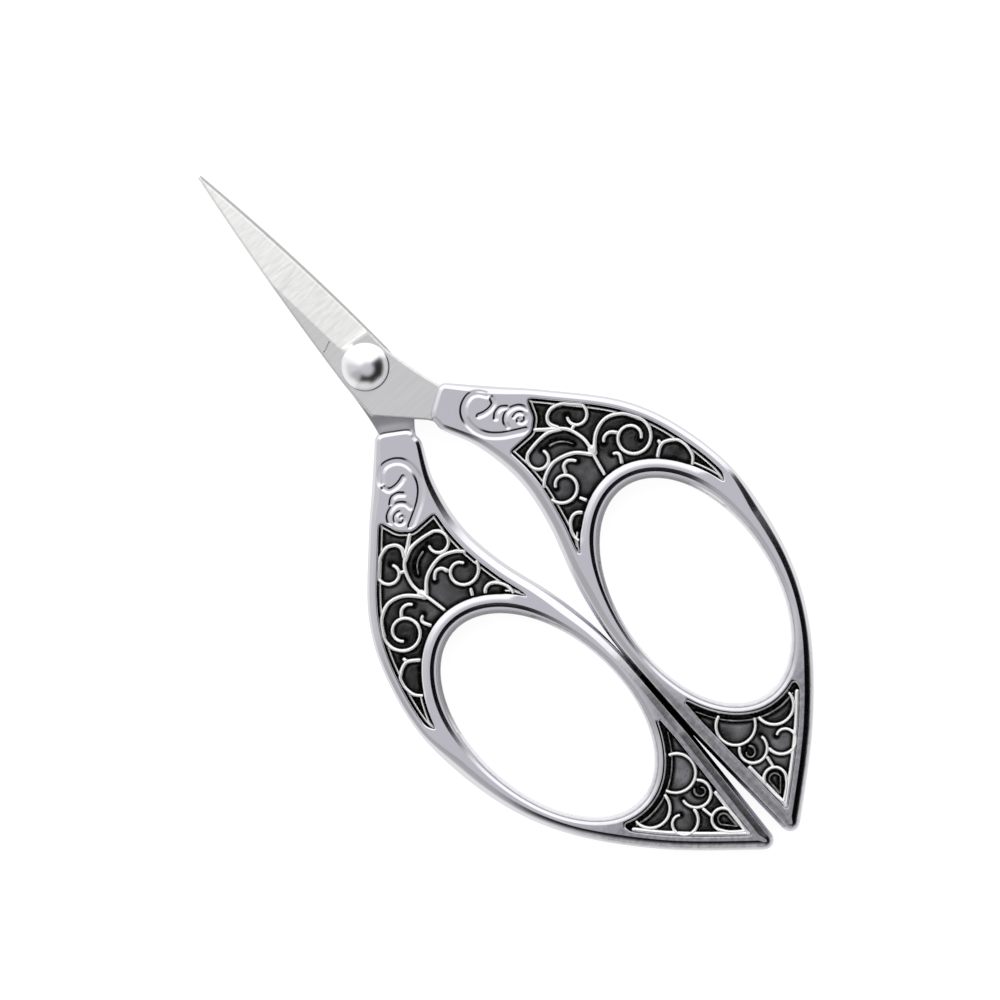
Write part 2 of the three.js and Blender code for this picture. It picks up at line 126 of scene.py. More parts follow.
def spaced(points, step):
    points = np.asarray(points, float)
    lengths = np.r_[0, np.cumsum(np.linalg.norm(np.diff(points, axis=0), axis=1))]
    count = max(round(lengths[-1] / step), 1)
    stops = np.linspace(0, lengths[-1], count + 1)
    return np.column_stack([np.interp(stops, lengths, points[:, k]) for k in (0, 1)])


def spline(knots, step):
    knots = np.asarray(knots, float)
    padded = np.vstack([knots[:1], knots, knots[-1:]])
    t = np.linspace(0, 1, SPLINE_STEPS, endpoint=False)[:, None]
    runs = []
    for a, b, c, d in zip(padded, padded[1:], padded[2:], padded[3:]):
        bend = 2 * a - 5 * b + 4 * c - d
        runs.append(b + 0.5 * t * (c - a + t * (bend + t * (3 * b - a - 3 * c + d))))
    return spaced(np.vstack([*runs, knots[-1:]]), step)


def rounded(loop, step, passes):
    """A closed line with its corners averaged off."""
    loop = spaced(np.vstack([loop, loop[:1]]), step)[:-1]
    for _ in range(passes):
        loop = (np.roll(loop, 1, axis=0) + 2 * loop + np.roll(loop, -1, axis=0)) / 4
    return spaced(np.vstack([loop, loop[:1]]), step)[:-1]


def corner_bend(start, corner, end):
    """A bend from start to end, pulled towards a corner."""
    t = np.linspace(0, 1, SPLINE_STEPS)[:, None]
    return (1 - t) ** 2 * start + 2 * t * (1 - t) * corner + t**2 * end


def left_of(points, closed):
    """Unit vectors to the left of the way that a line runs."""
    if closed:
        along = np.roll(points, -1, axis=0) - np.roll(points, 1, axis=0)
    else:
        along = np.gradient(points, axis=0)
    along /= np.linalg.norm(along, axis=1)[:, None]
    return np.column_stack([-along[:, 1], along[:, 0]])


def distance_to(points, line):
    """Distance from each point to the nearest point of a line."""
    gaps = [np.linalg.norm(chunk[:, None] - line[None], axis=2).min(axis=1)
            for chunk in np.array_split(points, len(points) // CHUNK + 1)]
    return np.concatenate(gaps)


def inside(points, loop):
    """Which points lie inside a closed line, by counting crossings."""
    result = np.zeros(len(points), bool)
    for (ax, ay), (bx, by) in zip(loop, np.roll(loop, -1, axis=0)):
        spans = (ay > points[:, 1]) != (by > points[:, 1])
        rise = by - ay if by != ay else 1.0
        result ^= spans & (points[:, 0] < ax + (points[:, 1] - ay) * (bx - ax) / rise)
    return result


def well_inside(points, loop, gap):
    """The points that lie inside a closed line and keep a gap from it."""
    points = points[inside(points, loop)]
    return points[distance_to(points, loop) > gap]


# %% [markdown]
# ## Plan of a handle
# A handle is a leaf with a finger hole: an oval that leans a little, a neck, or ferrule, that grips
# the blade, and a pointed tail. The hole comes first and the flanks are laid out round it, by the
# wall that is left at each bearing, as the casting was designed for a finger and not for a ruler.

# %% Sizes of the handle
CLOSING_LINE = 0.7  # pivot axis to the line where the closed bows meet
STAGGER = {1: -0.4, -1: 0.08}  # how far forward the right-hand and the left-hand bow sit
SLIT = 0.3  # between the closed bows, as drawn
LIP_GROWTH = 0.08  # plating and burr narrow the slit
LEFT_TURN = 0.28  # degrees, the left-hand bow closes further than drawn, until both touch
LEFT_SHIFT = -0.12
MOUTH = np.array([3.33, -9.15])  # middle of the ferrule's mouth
MOUTH_WIDTH = 5.7
MOUTH_ROUND = 1.3
TANG_SLOPE = -57.2  # degrees, the way that the tang runs
TANG_SIDES = (2.3, -2.75)  # outer and inner side of the tang
HOLE_LONG = 17.1  # half lengths of the finger hole
HOLE_SHORT = 10.6
HOLE_TILT = 6.65  # degrees
HOLE_POINTS = 300
BOW_DISTANCE = 52.05  # pivot to the hole's middle
CLOSING_WALL = 2.35  # between the hole and the slit
CLOSED_LENGTH = 14  # where the bows run parallel
TAIL_REACH = 16.5  # beyond the hole
TAIL_SPREAD = 0.9  # off the slit
TAIL_RADIUS = 1.3
TAIL_SLOPE = -48  # degrees
FERRULE_OUTER = [[10.7, -13], [15.7, -18]]
FERRULE_INNER = [[1.5, -12.7], [3.85, -18]]
# Bearings round the hole, in degrees from its front end, and the wall that is left there.
OUTER_WALLS = [(17.4, 11.1), (37.8, 7.4), (63.6, 4.7), (97, 2.8), (130.7, 2.6), (170, 7)]
INNER_WALLS = [(-29.2, 12.6), (-39.4, 7.3), (-59.9, 4.15), (-78, 2.95)]
OUTLINE_STEP = 0.3
OUTLINE_PASSES = 3
print("finger hole", 2 * HOLE_SHORT, "by", 2 * HOLE_LONG, "mm")

# %% The hole, the flanks and the outline
lean = math.radians(HOLE_TILT)
hole_along = np.array([math.sin(lean), math.cos(lean)])
hole_across = np.array([math.cos(lean), -math.sin(lean)])
hole_half_width = math.hypot(HOLE_SHORT * math.cos(lean), HOLE_LONG * math.sin(lean))
hole_middle = np.array([SLIT / 2 + CLOSING_WALL + hole_half_width, -BOW_DISTANCE])


def by_hole(bearing, out):
    """The point at a bearing round the finger hole, some way out from its edge."""
    turn = np.radians(np.asarray(bearing, float))[..., None]
    along = (HOLE_LONG + out) * np.cos(turn) * hole_along
    return hole_middle + along + (HOLE_SHORT + out) * np.sin(turn) * hole_across


def in_ferrule(depth, offset):
    """The point at a depth in the ferrule, offset from the tang's middle to the outer side."""
    return MOUTH + polar(depth, TANG_SLOPE) + polar(offset, TANG_SLOPE + 90)


def flank(side, ferrule, walls, end):
    """A flank of the leaf, from the ferrule's mouth to the tail or the slit."""
    start = in_ferrule(MOUTH_ROUND, side * MOUTH_WIDTH / 2)
    beside_hole = [by_hole(bearing, wall) for bearing, wall in walls]
    return spline([start, *ferrule, *beside_hole, end], OUTLINE_STEP)


closed_x = SLIT / 2 - LIP_GROWTH
tail_middle = np.array([closed_x + TAIL_SPREAD, by_hole(180, 0)[1] - TAIL_REACH]) + TAIL_RADIUS
outer_flank = flank(1, FERRULE_OUTER, OUTER_WALLS, tail_middle + polar(TAIL_RADIUS, TAIL_SLOPE))
inner_flank = np.vstack([
    flank(-1, FERRULE_INNER, INNER_WALLS, [closed_x, -BOW_DISTANCE]),
    [closed_x, -BOW_DISTANCE - CLOSED_LENGTH],
    [tail_middle[0] - TAIL_RADIUS, tail_middle[1]],
])
tail_end = tail_middle + polar(TAIL_RADIUS, np.linspace(180, 360 + TAIL_SLOPE, SPLINE_STEPS))
half = MOUTH_WIDTH / 2
outer_corner = corner_bend(outer_flank[0], in_ferrule(0, half), in_ferrule(0, half - MOUTH_ROUND))
inner_corner = corner_bend(in_ferrule(0, MOUTH_ROUND - half), in_ferrule(0, -half), inner_flank[0])
outline = np.vstack([inner_flank, tail_end, outer_flank[::-1], outer_corner, inner_corner])
outline = rounded(outline, OUTLINE_STEP, OUTLINE_PASSES)
finger_hole = by_hole(np.linspace(0, 360, HOLE_POINTS, endpoint=False), 0)
print("outline in mm: from", outline.min(axis=0).round(1), "to", outline.max(axis=0).round(1))

# %% [markdown]
# ## Recesses
# Two shallow recesses in each face hold the scrollwork: one at the shoulder, in front of the hole,
# and one in the tail. Seen from the middle of the hole each is a simple shape: it starts a ring's
# width from the hole and ends at the first line that a ray meets. So rays find its edge, which needs
# no outlines laid over each other and cut.

# %% Sizes of the recesses
SHOULDER_RIM = (1.3, 1.9)  # outer and inner flank to recess
SHOULDER_RING = 2.75  # hole to recess
SHOULDER_SPAN = (-50, 60)  # bearings, in degrees
TAIL_RIM = (1.95, 2.1)
TAIL_RING = 1.6
TAIL_SPAN = (160, 234)
HEAD_EDGE = -21.1  # front edge of the shoulder recess
SPIRAL = np.array([10.6, -18.8])  # eye of the ferrule's spiral, which that edge goes round
SPIRAL_ROUND = 1.8
SPIRAL_STEP = 2.5
SPIRAL_TURN = (-70, -35, 0)
RAYS = 240
RECESS_STEP = 0.18
CORNER_PASSES = 10
NARROWEST = 0.45  # the cutter that sank the recess could not go into a sharper tip
FAR = 200

# %% Edges of the recesses
head_edge = np.vstack([
    [-FAR, HEAD_EDGE],
    [SPIRAL[0], HEAD_EDGE],
    SPIRAL + polar(SPIRAL_ROUND, SPIRAL_TURN),
    [SPIRAL[0] + SPIRAL_STEP, SPIRAL[1] + SPIRAL_ROUND],
    [FAR, SPIRAL[1] + SPIRAL_ROUND],
])


def cross(a, b):
    return a[..., 0] * b[..., 1] - a[..., 1] * b[..., 0]


def ray_length(direction, lines):
    """How far a ray from the middle of the hole goes before it meets one of the lines."""
    lengths = []
    for line in lines:
        start = line[:-1] - hole_middle
        run = np.diff(line, axis=0)
        lean_to_ray = cross(run, direction)
        share = -cross(start, direction) / lean_to_ray
        length = -cross(start, run) / lean_to_ray
        lengths.append(length[(share >= 0) & (share <= 1) & (length > 0)])
    return np.concatenate(lengths).min()


def recess_edge(rim, ring, span, *fronts):
    """The closed edge of a recess, running clockwise."""
    lines = [
        outer_flank - rim[0] * left_of(outer_flank, False),
        inner_flank + rim[1] * left_of(inner_flank, False),
        *fronts,
    ]
    bearings = np.linspace(*span, RAYS)
    rays = by_hole(bearings, 0) - hole_middle
    rays /= np.linalg.norm(rays, axis=1)[:, None]
    lengths = np.array([ray_length(ray, lines) for ray in rays])
    far_side = hole_middle + rays * lengths[:, None]
    near_side = by_hole(bearings, ring)
    wide = lengths - np.linalg.norm(near_side - hole_middle, axis=1) > NARROWEST
    loop = np.vstack([far_side[wide], near_side[wide][::-1]])
    return rounded(loop, RECESS_STEP, CORNER_PASSES)


recesses = {
    "shoulder": recess_edge(SHOULDER_RIM, SHOULDER_RING, SHOULDER_SPAN, head_edge),
    "tail": recess_edge(TAIL_RIM, TAIL_RING, TAIL_SPAN),
}
print("points round the recesses:", {place: len(loop) for place, loop in recesses.items()})

# %% [markdown]
# ## Surfaces from rings
# A cast plate is mostly edges, and its edges make the look: metal shows what it mirrors, and a
# rounded edge mirrors the whole room. A bevel modifier gives one round edge everywhere. Here each
# edge is laid in rings instead, each a little further in and a little higher, so that the profile
# is free. The flat rest is filled with triangles between the innermost rings.

# %% Rings moved sideways
FOLD_LIMIT = 0.8
TINY = 1e-9


def free_travel(loop, sideways):
    """How far each point can move sideways before the loop folds over itself."""
    apart = loop[None] - loop[:, None]
    ahead = np.einsum("ijk,ik->ij", apart, sideways)
    square = (apart**2).sum(axis=2)
    reach = np.where(ahead > TINY, square / np.maximum(2 * ahead, TINY), np.inf)
    return FOLD_LIMIT * reach.min(axis=1)


def drawn_in(loop, inset):
    """A loop moved to its left, less where it would fold, and how far each point went."""
    sideways = left_of(loop, True)
    travel = np.clip(inset, -free_travel(loop, -sideways), free_travel(loop, sideways))
    return loop + travel[:, None] * sideways, travel


# %% A surface that grows ring by ring
INSIDE = 1  # the triangulation's mode that keeps to the inside of the outer ring
MERGE = 1e-6


class Surface:
    """Points, with a mask that says how dirty or dull they are, and faces."""

    def __init__(self):
        self.points = np.zeros((0, 3))
        self.mask = np.zeros(0)
        self.faces = []

    def add(self, plan, height, mask=0.0):
        start = len(self.points)
        heights = np.broadcast_to(height, len(plan))
        self.points = np.vstack([self.points, np.column_stack([plan, heights])])
        self.mask = np.r_[self.mask, np.broadcast_to(mask, len(plan))]
        return np.arange(start, len(self.points))

    def band(self, outer, inner):
        """Faces between two rings of as many points."""
        corners = np.column_stack([outer, np.roll(outer, -1), np.roll(inner, -1), inner])
        self.faces += [tuple(map(int, quad)) for quad in corners]

    def edge(self, loop, profile, stretch=1.0, base=None):
        """Rings from a loop inwards, which is to its left. Returns the first and the last one."""
        insets, heights = np.array(profile).T
        rings = []
        for inset in insets:
            plan, travel = drawn_in(loop, inset * stretch)
            height = heights[-1] + stretch * (np.interp(travel / stretch, insets, heights) - heights[-1])
            rings.append(self.add(plan, height if base is None else height + base(plan)))
        for outer, inner in zip(rings, rings[1:]):
            self.band(outer, inner)
        return rings[0], rings[-1]

    def fill(self, outer, holes=(), loose=()):
        """Triangles inside an outer ring and outside the rings of holes, through some loose points."""
        loops = [outer, *holes]
        order = np.concatenate([*loops, np.array(loose, int)])
        plan = self.points[order][:, :2]
        starts = np.cumsum([0, *[len(loop) for loop in loops]])
        edges = [(int(start + i), int(start + (i + 1) % len(loop)))
                 for start, loop in zip(starts, loops) for i in range(len(loop))]
        answer = delaunay_2d_cdt([Vector(point) for point in plan], edges, [], INSIDE, MERGE)
        triangles = np.array([[answer[3][corner][0] for corner in face] for face in answer[2]])
        middles = plan[triangles].mean(axis=1)
        kept = np.ones(len(triangles), bool)
        for hole in holes:
            kept &= ~inside(middles, self.points[hole][:, :2])
        self.faces += [tuple(map(int, face)) for face in order[triangles[kept]]]

    def join(self, other):
        """Takes over the points and faces of another surface, and returns its shift of indices."""
        shift = len(self.points)
        self.points = np.vstack([self.points, other.points])
        self.mask = np.r_[self.mask, other.mask]
        self.faces += [tuple(corner + shift for corner in face) for face in other.faces]
        return shift

    def turned_over(self):
        """The same surface below the middle plane, facing down."""
        other = Surface()
        other.points = self.points * [1, 1, -1]
        other.mask = self.mask
        other.faces = [face[::-1] for face in self.faces]
        return other


def closed_solid(top, bottom, edges):
    """Joins two surfaces by walls between pairs of their rings."""
    solid = Surface()
    solid.join(top)
    shift = solid.join(bottom)
    for upper, lower in edges:
        solid.band(lower + shift, upper)
    return solid


# %% [markdown]
# ## Pieces
# A piece is a surface, placed on the left or the right half and scaled to metres. It takes the place of a
# imported node, rides on that node's body and carries its material.

# %% From a surface to a piece
RIGHT = Matrix.Translation((CLOSING_LINE, STAGGER[1], MIDDLE))
LEFT = Matrix.Translation((CLOSING_LINE + LEFT_SHIFT, STAGGER[-1], MIDDLE))
LEFT = LEFT @ Matrix.Rotation(math.radians(LEFT_TURN), 4, "Z") @ Matrix.Rotation(math.pi, 4, "Y")
FRONT = Matrix.Translation((0, 0, MIDDLE))
REAR = FRONT @ Matrix.Rotation(math.pi, 4, "Y")
SHARP = math.radians(40)  # bends above this keep a hard edge


def piece(name, surface, place, material, node):
    """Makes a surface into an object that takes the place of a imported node."""
    mesh = bpy.data.meshes.new(name)
    mesh.from_pydata(surface.points.tolist(), [], surface.faces)
    mesh.transform(Matrix.Scale(MM, 4) @ place)
    mesh.attributes.new("mask", "FLOAT", "POINT").data.foreach_set("value", surface.mask)
    mesh.shade_smooth()
    mesh.set_sharp_from_angle(angle=SHARP)
    mesh.materials.append(material)
    made = bpy.data.objects.new(name, mesh)
    bpy.context.scene.collection.objects.link(made)
    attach(made, frame["nodes"][node]["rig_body"])
    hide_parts(node)


# %% [markdown]
# ## Materials
# Bare metal is mostly what it mirrors: its colour tints the reflection and its roughness blurs it.
# So these finishes stay simple, with the unevenness that casting, grinding and wear leave. Patterns
# are laid out in space and not on unwrapped faces, so they show no seams.

# %% Colours and nodes
def linear(hex_colour):
    """An sRGB colour such as #C8C7D0 as the linear RGBA that shaders work in."""
    shares = [int(hex_colour[i:i + 2], 16) / 255 for i in (1, 3, 5)]
    return [*(s / 12.92 if s <= 0.04045 else ((s + 0.055) / 1.055) ** 2.4 for s in shares), 1.0]


def add_node(tree, kind, inputs=None, **settings):
    """Adds a node with its settings and a value or a link on its inputs, and returns its outputs."""
    made = tree.nodes.new("ShaderNode" + kind)
    for name, value in settings.items():
        setattr(made, name, value)
    for socket, value in (inputs or {}).items():
        if isinstance(value, bpy.types.NodeSocket):
            tree.links.new(value, made.inputs[socket])
        else:
            made.inputs[socket].default_value = value
    return made.outputs


def new_material(name):
    material = bpy.data.materials.new(name)
    material.use_nodes = True
    material.node_tree.nodes.clear()
    return material, material.node_tree


def per_metre(size_mm):
    """Scale of a noise texture whose spots are about this large."""
    return 1 / (size_mm * MM)


def coat(tree, colour, layers, bumps, depth_mm, finish):
    """Colours laid over one another by their shares, a skin with fine bumps, and a finish."""
    tint = linear(colour)
    for share, other in layers:
        mixed = {"Factor": share, "A": tint, "B": linear(other)}
        tint = add_node(tree, "Mix", mixed, data_type="RGBA")["Result"]
    skin = add_node(tree, "Bump", {"Height": bumps, "Distance": depth_mm * MM})["Normal"]
    shader = add_node(tree, "BsdfPrincipled", {"Base Color": tint, "Normal": skin, **finish})["BSDF"]
    add_node(tree, "OutputMaterial", {"Surface": shader})


# %% Silver plate on cast zinc
# Polished plating is nearly a mirror. To the eye it has soft patches where the polish varies, the faint
# peel of the cast skin, and a mottled black where the mask says: the antique film in the recesses, and
# painted shade in the slit between the bows and on the lip of the finger hole, with the plate painted
# darker towards the tails.
PEEL = 0.003  # mm
POLISH = 0.25  # share by which the roughness varies


def silver_plate(name, colour, roughness):
    material, tree = new_material(name)
    place = add_node(tree, "TexCoord")["Object"]
    # The mask carries the antique film and the painted shade of the slit and the hole's lip.
    film_and_shade = add_node(tree, "Attribute", attribute_name="mask")["Fac"]
    cloud, grain, spots = (
        add_node(tree, "TexNoise", {"Vector": place, "Scale": per_metre(size), "Detail": detail})["Fac"]
        for size, detail in ((5, 3), (0.9, 2), (0.7, 4))
    )
    limits = {"From Min": 0.3, "From Max": 0.7, "To Min": 0.65, "To Max": 1.2}
    mottle = add_node(tree, "MapRange", {"Value": spots, **limits})["Result"]
    dark = add_node(tree, "Math", {0: film_and_shade, 1: mottle}, operation="MULTIPLY", use_clamp=True)["Value"]
    limits = {"To Min": (1 - POLISH) * roughness, "To Max": (1 + POLISH) * roughness}
    blur = add_node(tree, "MapRange", {"Value": cloud, **limits})["Result"]
    coat(tree, colour, [(dark, "#121113")], grain, PEEL, {"Metallic": 1, "Roughness": blur})
    return material


cast_silver = silver_plate("silver_plated_zinc_casting", "#D6D5DA", 0.13)
bright_silver = silver_plate("bright_silver_plated_wire", "#F3F2F2", 0.36)

# %% Black enamel
# Enamel is black glass with a typical index of 1.55. The middle of a cell stays glossy, in paler grey
# clouds that are partly wear and partly a painted sheen. Beside the wires and walls the fill is painted
# matt and black, as shade where it meets the metal. Brown polishing grit stays in the pits.
RIPPLE = 0.3  # mm, how uneven the fired surface flowed


def fired_enamel(name):
    material, tree = new_material(name)
    place = add_node(tree, "TexCoord")["Object"]
    corners = add_node(tree, "Attribute", attribute_name="mask")["Fac"]
    cloud, flow, grit = (
        add_node(tree, "TexNoise", {"Vector": place, "Scale": per_metre(size), "Detail": detail})["Fac"]
        for size, detail in ((5, 2), (1.6, 1), (0.4, 3))
    )
    wear_and_sheen = add_node(tree, "MapRange", {"Value": cloud, "From Min": 0.45, "From Max": 0.7})["Result"]
    limits = {"From Min": 0.5, "From Max": 0.75, "To Max": 0.6}
    pits = add_node(tree, "MapRange", {"Value": grit, **limits})["Result"]
    # Paler clouds: wear and a painted sheen. Corners: painted shade beside the metal. Pits: grit.
    layers = [(wear_and_sheen, "#77767B"), (corners, "#040404"), (pits, "#3D3730")]
    gloss = add_node(tree, "MapRange", {"Value": corners, "To Min": 0.5, "To Max": 0})["Result"]
    finish = {"Roughness": 0.2, "IOR": 1.55, "Specular IOR Level": gloss}
    coat(tree, "#070708", layers, flow, RIPPLE, finish)
    return material


black_enamel = fired_enamel("black_fired_enamel")

# %% Stainless steel
# A grinding wheel leaves fine lines across the blade, which spread the light into a pale satin. Real lines
# are finer than a tenth of a millimetre; here they are coarse enough to show. The inner faces are painted
# darker: partly a duller grind and partly painted shade under the other blade and the ferrules. A polished
# rivet keeps only a trace of lines, and so it mirrors.
STRETCH = (0.07, 1, 1)  # draws the spots of the noise out into lines across the blade
SCORING = 0.2  # share by which the roughness varies


def stainless_steel(name, colour, line_colour, roughness, line_mm, depth_mm):
    material, tree = new_material(name)
    place = add_node(tree, "TexCoord")["Object"]
    dull_and_shade = add_node(tree, "Attribute", attribute_name="mask")["Fac"]
    across = add_node(tree, "Mapping", {"Vector": place, "Scale": STRETCH})["Vector"]
    lines = add_node(tree, "TexNoise", {"Vector": across, "Scale": per_metre(line_mm), "Detail": 3})["Fac"]
    scored = add_node(tree, "MapRange", {"Value": lines, "From Min": 0.35, "From Max": 0.65})["Result"]
    limits = {"To Min": (1 - SCORING) * roughness, "To Max": (1 + SCORING) * roughness}
    blur = add_node(tree, "MapRange", {"Value": lines, **limits})["Result"]
    # The mask paints the inner faces darker: a duller grind, and painted shade under the other blade and
    # the ferrules.
    layers = [(scored, line_colour), (dull_and_shade, "#B0B0B2")]
    coat(tree, colour, layers, lines, depth_mm, {"Metallic": 1, "Roughness": blur})
    return material


blade_steel = stainless_steel("ground_stainless_steel", "#DEDEDC", "#D8D8D6", 0.3, 0.5, 0.014)
rivet_steel = stainless_steel("polished_stainless_steel", "#E2E2E4", "#DEDEE0", 0.2, 2, 0.0005)
print("materials:", [material.name for material in bpy.data.materials])

# %% [markdown]
# ## Handle casting
# The face runs out into a slope, slightly domed, and then a steep lip, as castings are polished.
# Round the finger hole a step leads down to a rounded ring, which carries the finger. Beside a recess
# the face rolls over like a bead. Each of these slopes mirrors its own part of the studio, and
# together they draw the black and white lines that show the form. Where a wall is thin, the profiles
# are drawn in, so that a strip of flat face is left between them.

# %% Profiles of the casting
LIP_SLOPE = 62  # slopes are in degrees
LIP_WIDTH = 0.48
EDGE_SLOPES = (26, 16)  # outer and inner end of the domed slope
EDGE_WIDTH = 0.85
EDGE_RADIUS = 0.8
HOLE_SLOPE = 40  # the ring's lip, then a shelf, then the step up to the face
HOLE_WIDTH = 0.45
SHELF_SLOPE = 3
SHELF_WIDTH = 0.25
STEP_SLOPE = 21
STEP_WIDTH = 0.44
CORNER_RADIUS = 0.2
CREST_RADIUS = 0.8
BEAD_WIDTH = 0.8
BEAD_RADIUS = 1.3
RECESS_ROUND = 0.26  # the rim rolls over, outwards and down
RECESS_ROLL = 0.12
RECESS_DRAFT = 0.06
FLOOR_LIFT = 0.05
ARC_STEPS = 6
FLAT = 0.06  # a last ring on the flat keeps its shading flat


def profile(*parts):
    """Bends (radius and two slopes) and straight stretches (width and slope), from a wall to the face."""
    line = np.zeros((1, 2))
    for size, *slopes in parts:
        turns = np.radians(slopes)
        if len(slopes) == 1:
            run = np.column_stack([[1.0], np.tan(turns)])
        else:
            turns = np.linspace(*turns, ARC_STEPS)
            run = np.column_stack([-np.sin(turns), np.cos(turns)])
            run = run[1:] - run[0]
        line = np.vstack([line, line[-1] + size * run])
    line = np.vstack([line, line[-1] + [FLAT, 0]])
    line[:, 1] += FACE - line[-1, 1]
    return line


# %% Edge, ring and recess
outer_sine, inner_sine = np.sin(np.radians(EDGE_SLOPES))
edge_profile = profile(
    (CORNER_RADIUS, 90, LIP_SLOPE),
    (LIP_WIDTH, LIP_SLOPE),
    (CORNER_RADIUS, LIP_SLOPE, EDGE_SLOPES[0]),
    (EDGE_WIDTH / (outer_sine - inner_sine), *EDGE_SLOPES),
    (EDGE_RADIUS, EDGE_SLOPES[1], 0),
)
hole_profile = profile(
    (CORNER_RADIUS, 90, HOLE_SLOPE),
    (HOLE_WIDTH, HOLE_SLOPE),
    (CORNER_RADIUS, HOLE_SLOPE, SHELF_SLOPE),
    (SHELF_WIDTH, SHELF_SLOPE),
    (FLAT, (SHELF_SLOPE + STEP_SLOPE) / 2),
    (STEP_WIDTH, STEP_SLOPE),
    (CREST_RADIUS, STEP_SLOPE, 0),
)
roll_turns = np.linspace(0, math.pi / 2, ARC_STEPS)
recess_profile = [
    (-RECESS_DRAFT, RECESS_FLOOR + FLOOR_LIFT),
    (-RECESS_DRAFT / 2, FACE - 2 * RECESS_ROLL),
    *zip(RECESS_ROUND * (1 - np.cos(roll_turns)), FACE - RECESS_ROLL * (1 - np.sin(roll_turns))),
    (RECESS_ROUND + FLAT, FACE),
]
print("edge", round(edge_profile[-1][0], 2), "mm wide, ring", round(hole_profile[-1][0], 2), "mm")

# %% [markdown]
# The neck carries a snail scroll: broad flat channels, cut so that the light draws one side dark
# and the other bright. A bump map would fade at a low angle. So they are cut into a fine grid of
# points, which lies only where the channels run.

# %% Channels in the ferrule
CHANNEL_DEPTH = 0.13
CHANNEL_WALL = 0.5
CHANNEL_GRID = 0.11
CHANNEL_REACH = 0.8  # from a channel's middle to the end of its grid
CHANNEL_MARGIN = 1
SPIRAL_KNOTS = 12
spiral_turns = np.linspace(120, -210, SPIRAL_KNOTS)
# Knots and width of each channel.
channels = [
    ([(9.3, -13.3), (8.5, -12.3), (7.4, -11.9), (6.1, -12.3), (5.2, -13.2), (4.85, -14.5),
      (5.05, -16.1), (5.8, -17.5), (7.1, -18.7), (8.6, -19.6), (10.1, -20.4)], 0.85),
    ([(9.5, -14.1), (9.2, -14.8), (8.4, -15.05), (7.4, -15), (6.6, -14.75)], 0.6),
    ([(8.1, -16.5), (8.7, -16), (9.5, -15.9), (10.2, -16.4)], 0.55),
    ([(8.6, -18.5), (8.8, -17.6), (9.6, -16.95), (10.6, -16.9), (11.6, -17.4), (12.1, -18.3)], 0.5),
    (SPIRAL + polar(np.linspace(0.95, 0.35, SPIRAL_KNOTS), spiral_turns), 0.4),
]
channels = [(spline(knots, CHANNEL_GRID), width) for knots, width in channels]


def carved(points):
    """Height of the channels, below the face."""
    depth = np.zeros(len(points))
    for line, width in channels:
        into_wall = (width / 2 + CHANNEL_WALL / 2 - distance_to(points, line)) / CHANNEL_WALL
        share = np.clip(into_wall, 0, 1)
        depth = np.maximum(depth, CHANNEL_DEPTH * share**2 * (3 - 2 * share))
    return -depth


def staggered_grid(points, margin, step):
    """A grid round some points, with every second row shifted by half a step."""
    corner = points.min(axis=0) - margin
    counts = np.ceil((points.max(axis=0) + margin - corner) / step).astype(int)
    columns, rows = (axis.ravel() for axis in np.meshgrid(np.arange(counts[0]), np.arange(counts[1])))
    return corner + step * np.column_stack([columns + rows % 2 / 2, rows])


def channel_points(face_edge, recess_rim):
    """A grid of points over the channels, clear of the face's edge and of the recess."""
    lines = np.vstack([line for line, _ in channels])
    grid = staggered_grid(lines, CHANNEL_MARGIN, CHANNEL_GRID)
    grid = well_inside(grid[distance_to(grid, lines) < CHANNEL_REACH], face_edge, CHANNEL_GRID)
    grid = grid[~inside(grid, recess_rim)]
    return grid[distance_to(grid, recess_rim) > CHANNEL_GRID]


# %% Room for the profiles
MOUTH_SHARE = 0.45  # the edge is narrower round the ferrule's mouth
MOUTH_FADE = 22
EASE = 9  # points over which a profile widens
OUTER_PART = 0.58  # of a thin wall belongs to the outer edge
recess_points = np.vstack(list(recesses.values()))


def room_for(loop, profile, other_loop, part):
    """How much of its width a profile keeps at each point, beside another edge or a recess."""
    width = profile[-1][0] + FLAT
    beside_edge = part * distance_to(loop, other_loop) / width
    beside_recess = (distance_to(loop, recess_points) - RECESS_ROUND - 2 * FLAT) / width
    at_mouth = MOUTH_SHARE + np.linalg.norm(loop - MOUTH, axis=1) / MOUTH_FADE
    share = np.minimum.reduce([beside_edge, beside_recess, at_mouth, np.ones(len(loop))])
    least = np.min([np.roll(share, shift) for shift in range(-EASE, EASE + 1)], axis=0)
    return np.mean([np.roll(least, shift) for shift in range(-EASE, EASE + 1)], axis=0)


def rolled(points):
    """Height of the bead between the finger hole and a recess, below the face."""
    roll = np.maximum(BEAD_WIDTH - distance_to(points, recess_points), 0)
    nearer_hole = np.clip(distance_to(points, outline) - distance_to(points, finger_hole), 0, 1)
    return -nearer_hole * (BEAD_RADIUS - np.sqrt(BEAD_RADIUS**2 - roll**2))


# %% [markdown]
# An antique bath blackens the whole plate, and wiping brightens it again; the black film stays in the
# recesses. The same mask paints shade into the slit between the bows, darker on the right-hand bow, and
# onto the lip of the finger hole, and paints the plate darker towards the tails.

# %% Tarnish and painted shade
DARKENING_DEPTH = 0.5  # so far below the face the film, and the slit's painted shade, are whole
SLIT_REACH = 0.66  # how far the painted shade reaches beside the slit
# painted shade in the slit, at its darkest
SLIT_SHADE = 1.3
SLIT_FACE_SHARE = 0.3  # of it on the face
SLIT_SHADE_SHARES = {"right": 1.0, "left": 0.4}  # the right-hand bow is painted darker in the slit, where the shade falls
SLIT_START = -50  # how far back it starts, along the slit and at the tail
TAIL_START = -63
# over which the slit's painted shade and the tails' darkening fade in
DARKENING_FADE = 8
# how much darker the tails are painted
TAIL_DARKENING = 0.5
CREEP = 13  # how far the tail's darkening runs up along the slit
CREEP_WIDTH = 4
BRIGHT_RING = 0.6  # the tail's darkening leaves the ring round the hole bright
# painted shade on the lip of the finger hole
HOLE_LIP_SHADE = 0.35


